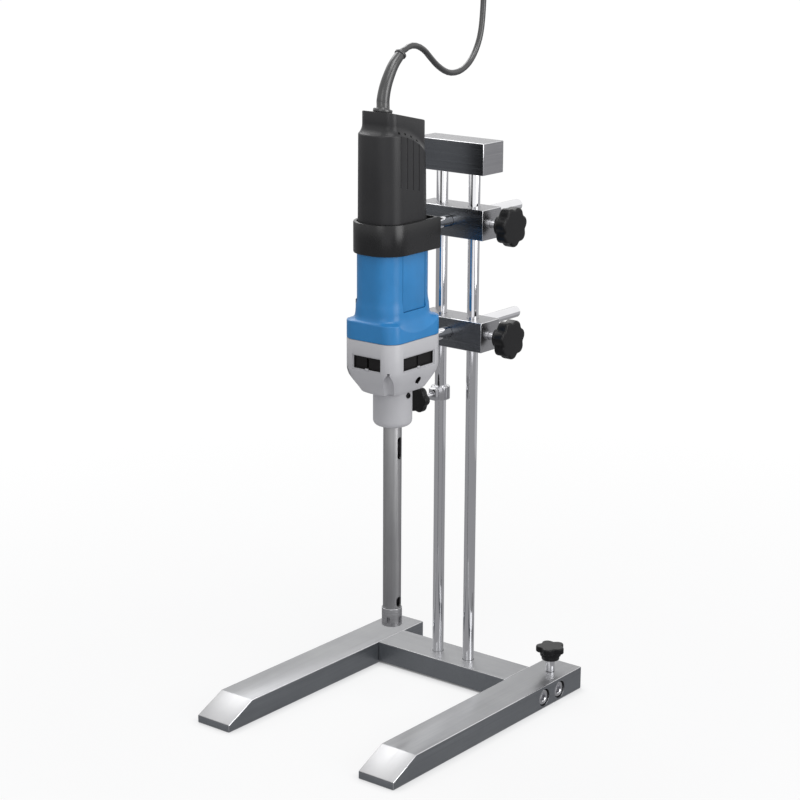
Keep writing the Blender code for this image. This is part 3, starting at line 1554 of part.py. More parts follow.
def make_lock_screw(looks):
    """Pinches the tool's tube in the neck."""
    near = TUBE_RADIUS + FIT * 2
    far = NECK_RADIUS + LOCK_SCREW_PROUD
    profile = [
        (0.0, far),
        (LOCK_SCREW_RADIUS - LOCK_SCREW_EDGE, far),
        (LOCK_SCREW_RADIUS, far - LOCK_SCREW_EDGE),
        (LOCK_SCREW_RADIUS, near),
        (0.0, near),
    ]
    place_at = (0.0, AXIS_Y, LOCK_SCREW_Z)
    return turned(
        "lock_screw", profile, looks["knob_plastic"], place_at, steps=SMALL_STEPS, axis="X"
    )


def make_tube(looks):
    bottom = STATOR_TOP - STATOR_SOCKET + FIT
    inner = TUBE_RADIUS - TUBE_WALL
    profile = sleeve(TUBE_RADIUS, inner, bottom, TUBE_TOP)
    tube = turned("work_tube", profile, looks["tool_steel"], (0.0, AXIS_Y, 0.0), closed=True)
    slots = (
        ("drain_slot", DRAIN_SLOT_WIDTH, DRAIN_SLOT_UNDERSIDE, DRAIN_SLOT_LENGTH),
        ("vent_slot", VENT_SLOT_WIDTH, VENT_SLOT_UNDERSIDE, VENT_SLOT_LENGTH),
    )
    for name, width, underside, length in slots:
        half = width / 2
        outline = []
        for centre, first in ((underside + length - half, 0), (underside + half, 180)):
            for step in range(SLOT_END_STEPS + 1):
                angle = math.radians(first + 180 * step / SLOT_END_STEPS)
                outline.append((half * math.cos(angle), centre + half * math.sin(angle)))
        turn = Matrix(((0, 0, 1, TUBE_RADIUS), (1, 0, 0, AXIS_Y), (0, 1, 0, 0), (0, 0, 0, 1)))
        cut(tube, place_cutter(name, plate_mesh(name, outline, TUBE_RADIUS, turn)))
    return tube


def make_stator_head(looks):
    """A ring on the tube's end with closed slots round it."""
    edge = STATOR_EDGE
    socket = TUBE_RADIUS + FIT
    profile = [
        (STATOR_RADIUS - edge, STATOR_TOP),
        (STATOR_RADIUS, STATOR_TOP - edge),
        (STATOR_RADIUS, STATOR_UNDERSIDE + edge),
        (STATOR_RADIUS - edge, STATOR_UNDERSIDE),
        (STATOR_BORE, STATOR_UNDERSIDE),
        (STATOR_BORE, STATOR_TOP - STATOR_SOCKET),
        (socket, STATOR_TOP - STATOR_SOCKET),
        (socket, STATOR_TOP),
    ]
    place_at = (0.0, AXIS_Y, 0.0)
    head = turned("stator_head", profile, looks["tool_steel"], place_at, closed=True)
    top = STATOR_TOP - STATOR_SOCKET - STATOR_SLOT_WEB
    for number in range(STATOR_SLOTS):
        name = f"stator_slot_{number}"
        low = (STATOR_BORE / 2, -STATOR_SLOT_WIDTH / 2, STATOR_SLOT_UNDERSIDE)
        high = (STATOR_RADIUS + PAST, STATOR_SLOT_WIDTH / 2, top)
        tool = place_cutter(name, block_mesh(name, low, high), place_at)
        tool.rotation_euler = (0.0, 0.0, 2 * math.pi * number / STATOR_SLOTS)
        cut(head, tool)
    return head


def make_tube_bush(looks):
    """The plastic bearing that steadies the rotor shaft in the tube."""
    outer = TUBE_RADIUS - TUBE_WALL - FIT
    inner = ROTOR_SHAFT_RADIUS + FIT
    profile = sleeve(outer, inner, BUSH_UNDERSIDE, BUSH_UNDERSIDE + BUSH_LENGTH)
    return turned("tube_bush", profile, looks["bush_plastic"], (0.0, AXIS_Y, 0.0), closed=True)


# Rotating drive

def make_drive(looks):
    place_at = (0.0, AXIS_Y, 0.0)
    shaft_bottom = COUPLING_UNDERSIDE + COUPLING_LENGTH / 2 + FIT
    shaft_top = BULKHEAD_UNDERSIDE + UPPER_BEARING_HEIGHT - FIT
    shaft = turned(
        "motor_shaft", rod(MOTOR_SHAFT_RADIUS, shaft_bottom, shaft_top), looks["chrome"], place_at,
        steps=SMALL_STEPS,
    )
    bore = MOTOR_SHAFT_RADIUS + FIT
    core = turned(
        "armature_core",
        sleeve(ARMATURE_RADIUS, bore, ARMATURE_UNDERSIDE, ARMATURE_UNDERSIDE + ARMATURE_LENGTH),
        looks["lamination"],
        place_at,
        closed=True,
        steps=ARMATURE_TEETH * 2,
    )
    for number in range(ARMATURE_TEETH):
        name = f"armature_slot_{number}"
        low = (
            ARMATURE_RADIUS - ARMATURE_SLOT_DEPTH,
            -ARMATURE_SLOT_WIDTH / 2,
            ARMATURE_UNDERSIDE - PAST,
        )
        high = (
            ARMATURE_RADIUS + PAST,
            ARMATURE_SLOT_WIDTH / 2,
            ARMATURE_UNDERSIDE + ARMATURE_LENGTH + PAST,
        )
        tool = place_cutter(name, block_mesh(name, low, high), place_at)
        tool.rotation_euler = (0.0, 0.0, 2 * math.pi * (number + 0.5) / ARMATURE_TEETH)
        cut(core, tool)
    commutator_profile = sleeve(
        COMMUTATOR_RADIUS, bore, COMMUTATOR_UNDERSIDE, COMMUTATOR_UNDERSIDE + COMMUTATOR_LENGTH
    )
    commutator = turned("commutator", commutator_profile, looks["copper"], place_at, closed=True)
    coupling = turned(
        "coupling",
        rod(COUPLING_RADIUS, COUPLING_UNDERSIDE, COUPLING_UNDERSIDE + COUPLING_LENGTH),
        looks["chrome"],
        place_at,
        steps=SMALL_STEPS,
    )
    cut_cylinder(
        coupling,
        "coupling_upper_bore",
        MOTOR_SHAFT_RADIUS + FIT,
        (0.0, AXIS_Y, shaft_bottom - FIT),
        (0.0, AXIS_Y, COUPLING_UNDERSIDE + COUPLING_LENGTH + PAST),
    )
    rotor_top = COUPLING_UNDERSIDE + COUPLING_LENGTH / 2 - COUPLING_WEB
    cut_cylinder(
        coupling,
        "coupling_lower_bore",
        ROTOR_SHAFT_RADIUS + FIT,
        (0.0, AXIS_Y, COUPLING_UNDERSIDE - PAST),
        (0.0, AXIS_Y, rotor_top + FIT),
    )
    rotor_shaft_bottom = ROTOR_UNDERSIDE + ROTOR_FLOOR
    rotor_shaft = turned(
        "rotor_shaft",
        rod(ROTOR_SHAFT_RADIUS, rotor_shaft_bottom, rotor_top),
        looks["tool_steel"],
        place_at,
        steps=SMALL_STEPS,
    )
    rotor = make_rotor(looks, rotor_shaft_bottom)
    return [shaft, core, commutator, make_fan(looks), coupling, rotor_shaft, rotor]


def make_fan(looks):
    """A disc with a hub and radial blades under it."""
    place_at = (0.0, AXIS_Y, 0.0)
    top = FAN_UNDERSIDE + FAN_HEIGHT
    bore = MOTOR_SHAFT_RADIUS + FIT
    profile = [
        (FAN_RADIUS, top),
        (FAN_RADIUS, top - FAN_DISC),
        (FAN_HUB, top - FAN_DISC),
        (FAN_HUB, FAN_UNDERSIDE),
        (bore, FAN_UNDERSIDE),
        (bore, top),
    ]
    fan = turned("cooling_fan", profile, looks["bush_plastic"], place_at, closed=True)
    for number in range(FAN_BLADES):
        name = f"fan_blade_{number}"
        low = (FAN_HUB - FAN_BLADE_LAP, -FAN_BLADE_THICKNESS / 2, FAN_UNDERSIDE + FAN_BLADE_INSET)
        high = (FAN_RADIUS - FAN_BLADE_INSET, FAN_BLADE_THICKNESS / 2, top - FAN_DISC / 2)
        blade = place_cutter(name, block_mesh(name, low, high), place_at)
        blade.rotation_euler = (0.0, 0.0, 2 * math.pi * number / FAN_BLADES)
        combine(fan, blade, "UNION")
    return fan


def make_rotor(looks, shaft_bottom):
    """A hub with upright blades that turn just inside the stator's slots."""
    place_at = (0.0, AXIS_Y, 0.0)
    top = ROTOR_UNDERSIDE + ROTOR_HEIGHT
    profile = rod(ROTOR_HUB, ROTOR_UNDERSIDE, top)
    rotor = turned("rotor", profile, looks["tool_steel"], place_at, steps=SMALL_STEPS)
    for number in range(ROTOR_BLADES // 2):
        name = f"rotor_blade_{number}"
        reach = STATOR_BORE - SHEAR_GAP
        low = (-reach, -ROTOR_BLADE_THICKNESS / 2, ROTOR_UNDERSIDE + ROTOR_BLADE_RISE)
        high = (reach, ROTOR_BLADE_THICKNESS / 2, STATOR_TOP - STATOR_SOCKET - SHEAR_GAP)
        blade = place_cutter(name, block_mesh(name, low, high), place_at)
        turn = math.pi * number / (ROTOR_BLADES // 2) + ROTOR_BLADE_START
        blade.rotation_euler = (0.0, 0.0, turn)
        combine(rotor, blade, "UNION")
    cut_cylinder(
        rotor,
        "rotor_bore",
        ROTOR_SHAFT_RADIUS + FIT,
        (0.0, AXIS_Y, shaft_bottom - FIT),
        (0.0, AXIS_Y, top + PAST),
    )
    return rotor


# Fixed parts of the motor

def make_motor_fixings(looks):
    place_at = (0.0, AXIS_Y, 0.0)
    field = turned(
        "field_core",
        sleeve(GRIP_HALF - GRIP_WALL - FIT, FIELD_BORE, FIELD_UNDERSIDE, FIELD_UNDERSIDE + FIELD_LENGTH),
        looks["lamination"],
        place_at,
        closed=True,
    )
    brushes = []
    brush_z = COMMUTATOR_UNDERSIDE + COMMUTATOR_LENGTH / 2
    for side, name in ((-1, "brush_left"), (1, "brush_right")):
        near = COMMUTATOR_RADIUS + RUNNING_GAP
        far = GRIP_HALF - GRIP_WALL - FIT
        xs = sorted((side * near, side * far))
        low = (xs[0], AXIS_Y - BRUSH_SIZE / 2, brush_z - BRUSH_SIZE / 2)
        high = (xs[1], AXIS_Y + BRUSH_SIZE / 2, brush_z + BRUSH_SIZE / 2)
        brushes.append(place(name, block_mesh(name, low, high), looks["carbon"]))
    bearing_bore = MOTOR_SHAFT_RADIUS + FIT
    lower_bottom = NOSE_CREASE - LOWER_BEARING_HEIGHT
    lower = turned(
        "lower_bearing",
        sleeve(LOWER_BEARING_RADIUS, bearing_bore, lower_bottom, NOSE_CREASE - FIT),
        looks["chrome"],
        place_at,
        closed=True,
    )
    upper_top = BULKHEAD_UNDERSIDE + UPPER_BEARING_HEIGHT
    upper = turned(
        "upper_bearing",
        sleeve(UPPER_BEARING_RADIUS, bearing_bore, BULKHEAD_UNDERSIDE, upper_top),
        looks["chrome"],
        place_at,
        closed=True,
    )
    return [field, *brushes, lower, upper]


# Mains lead

def smooth_route(points, spacing):
    """Evenly spaced points on a smooth curve through the route's own points."""
    ends = [2 * points[0] - points[1], *points, 2 * points[-1] - points[-2]]
    fine = []
    for a, b, c, d in zip(ends, ends[1:], ends[2:], ends[3:]):
        for step in range(ROUTE_STEPS):
            t = step / ROUTE_STEPS
            fine.append(
                0.5
                * (
                    2 * b
                    + (c - a) * t
                    + (2 * a - 5 * b + 4 * c - d) * t * t
                    + (3 * b - a - 3 * c + d) * t ** 3
                )
            )
    fine.append(points[-1])
    total = sum((q - p).length for p, q in zip(fine, fine[1:]))
    count = max(2, round(total / spacing))
    even = [fine[0]]
    gone = 0.0
    for p, q in zip(fine, fine[1:]):
        step = (q - p).length
        while len(even) < count and gone + step >= total * len(even) / count:
            share = (total * len(even) / count - gone) / step
            even.append(p.lerp(q, share))
        gone += step
    even.append(fine[-1])
    return even


def route(points):
    return [Vector((0.0, AXIS_Y + back, CAP_TOP_FRONT + up)) for back, up in points]


def round_section(centre, direction, radius, steps):
    """A circle square to a direction that lies in the YZ plane."""
    side = Vector((1.0, 0.0, 0.0))
    other = direction.normalized().cross(side)
    return [
        centre
        + side * (radius * math.cos(2 * math.pi * k / steps))
        + other * (radius * math.sin(2 * math.pi * k / steps))
        for k in range(steps)
    ]


def boot_line():
    return smooth_route(route(BOOT_ROUTE), BOOT_STEP)


def make_boot(looks):
    """The sleeve that the lead leaves through: a flange, a curved taper and an end ring."""
    line = boot_line()
    up = Vector((0.0, CAP_TOP_SLOPE, 1.0)).normalized()
    foot_y = line[0].y
    foot = Vector((0.0, foot_y, top_height(0.0, foot_y - AXIS_Y) + FIT))
    flange_top = foot + up * BOOT_FLANGE_HEIGHT
    sections = [
        round_section(foot, up, BOOT_FLANGE, SMALL_STEPS),
        round_section(flange_top - up * BOOT_EDGE, up, BOOT_FLANGE, SMALL_STEPS),
        round_section(flange_top, up, BOOT_FLANGE - BOOT_EDGE, SMALL_STEPS),
        round_section(flange_top, up, BOOT_FOOT, SMALL_STEPS),
    ]
    last = len(line) - 1
    for number in range(1, last):
        share = number / last
        radius = BOOT_FOOT + (BOOT_TIP - BOOT_FOOT) * share
        direction = line[number + 1] - line[number - 1]
        sections.append(round_section(line[number], direction, radius, SMALL_STEPS))
    end = line[-1]
    direction = (line[-1] - line[-2]).normalized()
    ring_start = end - direction * BOOT_RING_LENGTH
    sections.append(round_section(ring_start, direction, BOOT_TIP, SMALL_STEPS))
    sections.append(round_section(ring_start, direction, BOOT_RING, SMALL_STEPS))
    sections.append(round_section(end, direction, BOOT_RING, SMALL_STEPS))
    return place("strain_relief", loft_mesh("strain_relief", sections), looks["rubber"])


def make_lead(looks):
    boot = boot_line()
    out = (boot[-1] - boot[-2]).normalized()
    start = boot[-1] + out * FIT
    rest = smooth_route(route(LEAD_ROUTE), LEAD_DIAMETER * 2)
    line = [start, start + out * (LEAD_DIAMETER / 2), *rest[1:]]
    curve = bpy.data.curves.new("mains_lead", "CURVE")
    curve.dimensions = "3D"
    curve.bevel_depth = LEAD_DIAMETER / 2
    curve.bevel_resolution = 2
    curve.use_fill_caps = True
    spline = curve.splines.new("POLY")
    spline.points.add(len(line) - 1)
    for point, place_at in zip(spline.points, line):
        point.co = (*place_at, 1.0)
    curve.materials.append(looks["rubber"])
    lead = bpy.data.objects.new("mains_lead", curve)
    PARTS.objects.link(lead)
    return lead


def make_plug(looks):
    """A round two-pin plug at the lead's end, pins up."""
    end = route(LEAD_ROUTE)[-1]
    place_at = (end.x, end.y, end.z + FIT)
    top = PLUG_NECK_LENGTH + PLUG_LENGTH
    profile = [
        (0.0, top),
        (PLUG_RADIUS - PLUG_EDGE, top),
        (PLUG_RADIUS, top - PLUG_EDGE),
        (PLUG_RADIUS, top - PLUG_LENGTH * 0.55),
        (PLUG_RADIUS * 0.72, top - PLUG_LENGTH * 0.85),
        (PLUG_NECK * 1.15, PLUG_NECK_LENGTH),
        (PLUG_NECK * 0.8, 0.0),
        (0.0, 0.0),
    ]
    plug = turned("mains_plug", profile, looks["rubber"], place_at)
    for side in (-1, 1):
        x = side * PIN_PITCH / 2
        name = f"plug_pin_{side}"
        start, end = (x, 0.0, top - PIN_ROOT), (x, 0.0, top + PIN_LENGTH)
        mesh = cylinder_mesh(name, PIN_RADIUS, start, end)
        combine(plug, place_cutter(name, mesh, place_at), "UNION")
    return plug


def build():
    clear_scene()
    make_collections()
    looks = make_finishes()

    # Stand, which stays still
    make_leg(-1, looks)
    make_leg(1, looks)
    make_crossbar(looks)
    make_leg_screws(looks)
    make_columns(looks)
    make_top_bar(looks)

    # Knob on the base
    base_place, base_knob = make_base_knob(looks)
    attach(base_knob, joint_empty("base_knob_axis", base_place), base_place)

    # Stop collar and its thumb screw
    collar_place, collar = make_collar(looks)
    collar_joint = joint_empty("collar_slide_axis", collar_place)
    attach([collar], collar_joint, collar_place)
    stop_place, stop_knob = make_stop_knob(looks)
    stop_joint = joint_empty("stop_knob_axis", stop_place)
    attach(stop_knob, stop_joint, stop_place)
    attach([stop_joint], collar_joint, collar_place)

    # Carriage: two blocks that slide on the columns
    carriage_place = (0.0, COLUMN_Y, UPPER_BLOCK_UNDERSIDE)
    carriage = joint_empty("carriage_slide_axis", carriage_place)
    blocks = [
        make_slide_block("upper_block", UPPER_BLOCK_UNDERSIDE, looks),
        make_slide_block("lower_block", LOWER_BLOCK_UNDERSIDE, looks),
        make_set_screw("upper_set_screw", UPPER_BLOCK_UNDERSIDE, looks),
        make_set_screw("lower_set_screw", LOWER_BLOCK_UNDERSIDE, looks),
    ]
    attach(blocks, carriage, carriage_place)
    for name, underside in (("upper", UPPER_BLOCK_UNDERSIDE), ("lower", LOWER_BLOCK_UNDERSIDE)):
        knob_place, knob = make_block_knob(name, underside, looks)
        knob_joint = joint_empty(f"{name}_knob_axis", knob_place)
        attach(knob, knob_joint, knob_place)
        attach([knob_joint], carriage, carriage_place)

    # Motor head, which slides in the blocks on its two rods
    head_place = (0.0, AXIS_Y, UPPER_ROD_Z)
    head = joint_empty("head_slide_axis", head_place)
    head_pieces = [
        make_rod("upper_rod", UPPER_ROD_Z, CLAMP_REAR, UPPER_SPIGOT_LENGTH, looks),
        make_rod("lower_rod", LOWER_ROD_Z, NOSE_FRONT, LOWER_SPIGOT_LENGTH, looks),
        make_clamp(looks),
        make_rear_housing(looks),
        make_board(looks),
        make_grip(looks),
        make_panel(1, looks),
        make_panel(-1, looks),
        make_nose(looks),
        *make_vent_grilles(looks),
        *make_nose_screws(looks),
        make_neck(looks),
        make_lock_screw(looks),
        make_tube(looks),
        make_tube_bush(looks),
        make_stator_head(looks),
        *make_motor_fixings(looks),
        make_boot(looks),
        make_lead(looks),
        make_plug(looks),
    ]
    attach(head_pieces, head, head_place)
    attach([head], carriage, carriage_place)

    # Rotating drive inside the head
    drive_place = (0.0, AXIS_Y, ROTOR_UNDERSIDE)
    drive = joint_empty("drive_axis", drive_place)
    attach(make_drive(looks), drive, drive_place)
    attach([drive], head, head_place)

    # Slide switch on the left side
    switch_place = (-GRIP_HALF, SWITCH_Y, SWITCH_Z)
    switch_joint = joint_empty("switch_slide_axis", switch_place)
    attach([make_switch(looks)], switch_joint, switch_place)
    attach([switch_joint], head, head_place)


build()
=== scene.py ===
"""Looks of the bench rotor stator homogenizer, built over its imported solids."""

import math

import bmesh
import bpy
from mathutils import Matrix, Vector


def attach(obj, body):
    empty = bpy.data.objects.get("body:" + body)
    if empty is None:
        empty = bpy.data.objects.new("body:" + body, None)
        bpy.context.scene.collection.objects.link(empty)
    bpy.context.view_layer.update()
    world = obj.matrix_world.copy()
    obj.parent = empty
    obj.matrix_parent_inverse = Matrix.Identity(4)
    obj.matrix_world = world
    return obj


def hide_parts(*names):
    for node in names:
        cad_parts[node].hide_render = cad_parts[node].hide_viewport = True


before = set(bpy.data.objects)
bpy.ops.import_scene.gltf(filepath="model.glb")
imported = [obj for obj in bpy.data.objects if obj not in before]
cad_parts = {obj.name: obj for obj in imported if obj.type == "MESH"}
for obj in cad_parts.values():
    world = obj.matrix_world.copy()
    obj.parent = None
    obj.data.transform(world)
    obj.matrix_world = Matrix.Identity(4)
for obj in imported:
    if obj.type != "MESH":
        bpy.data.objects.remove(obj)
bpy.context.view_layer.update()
bpy.context.scene.view_settings.view_transform = "Standard"

# Camera, from the stand's straight edges
LENS = 95.80
SENSOR = 36.0
CAMERA_PLACE = Vector((1.28576, -1.64724, 0.89177))
CAMERA_YAW = math.radians(38.234)
CAMERA_PITCH = math.radians(15.163)
CAMERA_ROLL = math.radians(-0.2607)

# Places that the pieces share
COLUMN_Y = 0.0792
AXIS_Y = -0.0273
FIT = 0.0003
COLUMN_X = 0.0204
ROUND = 72

# Base
BASE_HALF = 0.128
LEG_WIDTH = 0.043
LEG_HEIGHT = 0.024
LEG_LIP = 0.0077
LEG_RAMP = 0.0358
LEG_FRONT = -0.1854
LEG_REAR = 0.1366
LEG_SCREW_Z = 0.0114
LEG_SCREW_YS = (0.0682, 0.0962)

# Blocks, rods and clamp
BLOCK_HEIGHT = 0.0312
UPPER_BLOCK = 0.4851
LOWER_BLOCK = 0.3688
UPPER_ROD_Z = UPPER_BLOCK + BLOCK_HEIGHT / 2 + 0.001
LOWER_ROD_Z = LOWER_BLOCK + BLOCK_HEIGHT / 2 + 0.001
ROD_REAR = 0.1854

# Motor housing
NOSE_HALF = 0.0333
NOSE_FRONT = 0.0419
NOSE_CORNER = 0.0153
NOSE_UNDERSIDE = 0.343
NOSE_CREASE = 0.3685
NOSE_TOP = 0.399
NOSE_TUCK_WIDTH = 0.0128
SCREW_X = 0.0238
SCREW_Y = 0.0368
NOTCH_TOP = 0.3712
GRIP_HALF = 0.0263
GRIP_FRONT = 0.0374
GRIP_REAR = 0.0353
GRIP_CORNER = 0.020
HOUSING_SEAM = 0.500
SWITCH_Y = AXIS_Y - 0.0125
SWITCH_Z = 0.428
CAP_SLOPE = 0.221
PANEL_HALF = 0.0174
PANEL_BOTTOM = 0.4282
PANEL_TOP = 0.4900

# Shared small sizes
BROKEN_EDGE = 0.0005
BAR_RADIUS = 0.006
BAR_BORE = 0.0063
STUD_BORE = 0.0043
COLLAR_Z = 0.3145
LEVELLING_SPOT = (0.108, 0.1072)
LOCK_SCREW_Z = 0.3392


def new_object(name, data):
    made = bpy.data.objects.new(name, data)
    bpy.context.scene.collection.objects.link(made)
    return made


# Camera

def place_camera():
    ahead = Vector((
        -math.sin(CAMERA_YAW) * math.cos(CAMERA_PITCH),
        math.cos(CAMERA_YAW) * math.cos(CAMERA_PITCH),
        -math.sin(CAMERA_PITCH),
    ))
    level = Vector((math.cos(CAMERA_YAW), math.sin(CAMERA_YAW), 0.0))
    down = ahead.cross(level)
    right = level * math.cos(CAMERA_ROLL) + down * math.sin(CAMERA_ROLL)
    below = down * math.cos(CAMERA_ROLL) - level * math.sin(CAMERA_ROLL)
    data = bpy.data.cameras.new("front_right_view")
    data.lens = LENS
    data.sensor_width = SENSOR
    data.clip_end = 50.0
    camera = new_object("front_right_view", data)
    turn = Matrix((right, -below, -ahead)).transposed().to_4x4()
    camera.matrix_world = Matrix.Translation(CAMERA_PLACE) @ turn
    bpy.context.scene.camera = camera


place_camera()


# Node helpers

def made_by(tree, kind, output, **inputs):
    """A new node's output, with the node's inputs set to values or linked to other outputs."""
    node = tree.nodes.new(f"ShaderNode{kind}")
    for name, value in inputs.items():
        socket = node.inputs[name.replace("_", " ")]
        if isinstance(value, bpy.types.NodeSocket):
            tree.links.new(value, socket)
        else:
            socket.default_value = value
    return node.outputs[output]


def new_look(name, roughness, metallic, **fixed):
    """A Principled material and the object coordinates that its patterns read."""
    look = bpy.data.materials.new(name)
    look.use_nodes = True
    tree = look.node_tree
    shader = tree.nodes["Principled BSDF"]
    shader.inputs["Roughness"].default_value = roughness
    shader.inputs["Metallic"].default_value = metallic
    for socket, value in fixed.items():
        shader.inputs[socket.replace("_", " ")].default_value = value
    return look, tree, shader, made_by(tree, "TexCoord", "Object")


def noise(tree, where, scale, detail=3.0, stretch=None, roughness=0.55):
    """A noise pattern, which may be stretched along one direction."""
    if stretch:
        where = made_by(tree, "Mapping", "Vector", Scale=stretch, Vector=where)
    return made_by(
        tree, "TexNoise", "Fac", Scale=scale, Detail=detail, Roughness=roughness, Vector=where
    )


def spread(tree, amount, low, high, start=0.3, end=0.7):
    """Maps a pattern's middle range onto a range of values."""
    return made_by(
        tree, "MapRange", "Result", From_Min=start, From_Max=end, To_Min=low, To_Max=high,
        Value=amount,
    )


def tinted(tree, amount, first, second, start=0.3, end=0.7):
    """A colour between two, by the pattern."""
    ramp = tree.nodes.new("ShaderNodeValToRGB")
    for element, place, colour in zip(ramp.color_ramp.elements, (start, end), (first, second)):
        element.position = place
        element.color = (*colour, 1.0)
    tree.links.new(amount, ramp.inputs["Fac"])
    return ramp.outputs["Color"]


def multiplied(tree, first, second):
    """The product of two colours."""
    blend = tree.nodes.new("ShaderNodeMix")
    blend.data_type = "RGBA"
    blend.blend_type = "MULTIPLY"
    blend.inputs["Factor"].default_value = 1.0
    tree.links.new(first, blend.inputs["A"])
    tree.links.new(second, blend.inputs["B"])
    return blend.outputs["Result"]


def coated(tree, shader, shades, gloss, height, strength, distance):
    """Gives the shader its colour, its roughness and its bump."""
    bump = made_by(
        tree, "Bump", "Normal", Strength=strength, Distance=distance, Height=height
    )
    for socket, source in (("Base Color", shades), ("Roughness", gloss), ("Normal", bump)):
        tree.links.new(source, shader.inputs[socket])


def scaled(colour, factor):
    return tuple(min(1.0, channel * factor) for channel in colour)


# Finishes

def brushed_metal(name, colour, roughness, stretch, contrast=0.10, depth=0.00004):
    """Metal with fine grinding lines; the stretch is small along the lines."""
    look, tree, shader, where = new_look(name, roughness, 1.0)
    lines = noise(tree, where, 1.0, 4.0, stretch, 0.7)
    cloud = noise(tree, where, 22.0, 3.0)
    fine = tinted(tree, lines, scaled(colour, 1 - contrast), scaled(colour, 1 + contrast))
    patchy = tinted(tree, cloud, (0.90, 0.90, 0.91), (1.0, 1.0, 1.0))
    gloss = spread(tree, lines, roughness * 0.82, roughness * 1.18)
    coated(tree, shader, multiplied(tree, fine, patchy), gloss, lines, 0.35, depth)
    return look


def painted_casting(name, colour, roughness):
    """Painted die casting: orange peel and tiny flecks."""
    look, tree, shader, where = new_look(name, roughness, 0.0)
    flecks = noise(tree, where, 2600.0, 2.0)
    peel = noise(tree, where, 420.0, 2.0)
    cloud = noise(tree, where, 25.0, 4.0)
    base = tinted(tree, cloud, scaled(colour, 0.96), scaled(colour, 1.03))
    dust = tinted(tree, flecks, (0.93, 0.93, 0.93), (1.0, 1.0, 1.0), 0.25, 0.5)
    gloss = spread(tree, peel, roughness - 0.05, roughness + 0.06)
    coated(tree, shader, multiplied(tree, base, dust), gloss, peel, 0.35, 0.00006)
    return look


def plain_finish(name, metallic, colour, roughness, tint, shade, gloss, grain, bump, **fixed):
    """A finish whose colour, gloss and bump each follow one noise pattern."""
    look, tree, shader, where = new_look(name, roughness, metallic, **fixed)
    tint, grain = noise(tree, where, *tint), noise(tree, where, *grain)
    source, low, high = gloss
    gloss = spread(tree, tint if source == "tint" else grain, low, high)
    shades = tinted(tree, tint, *[scaled(colour, factor) for factor in shade])
    coated(tree, shader, shades, gloss, grain, *bump)
    return look


def polished_metal(name, colour, roughness):
    """Chrome or polished steel with faint smears and hairlines."""
    return plain_finish(
        name, 1.0, colour, roughness, (35.0, 4.0, (1.0, 1.0, 0.35)), (0.95, 1.0),
        ("tint", roughness * 0.7, roughness * 1.5), (9.0, 1.0, (1.0, 1.0, 0.2)), (0.10, 0.0004),
    )


def moulded_plastic(name, colour, roughness, grain=0.00003, specular=0.5):
    """Moulded plastic with a fine sparked grain and slight changes of gloss."""
    return plain_finish(
        name, 0.0, colour, roughness, (30.0, 4.0), (0.93, 1.07),
        ("tint", roughness - 0.04, roughness + 0.05), (1500.0, 2.0), (0.45, grain),
        Specular_IOR_Level=specular,
    )


def soft_rubber(name, colour, roughness):
    return plain_finish(
        name, 0.0, colour, roughness, (60.0, 4.0), (0.85, 1.2),
        ("grain", roughness - 0.06, roughness + 0.06), (900.0, 3.0), (0.4, 0.00005),
        Specular_IOR_Level=0.8,
    )


def layered_iron(name, colour):
    """Stacked sheet iron: fine level lines."""
    layers = (1.0, 1.0, (8.0, 8.0, 2000.0))
    return plain_finish(
        name, 1.0, colour, 0.5, layers, (0.7, 1.2), ("tint", 0.4, 0.6), layers, (0.5, 0.0001)
    )


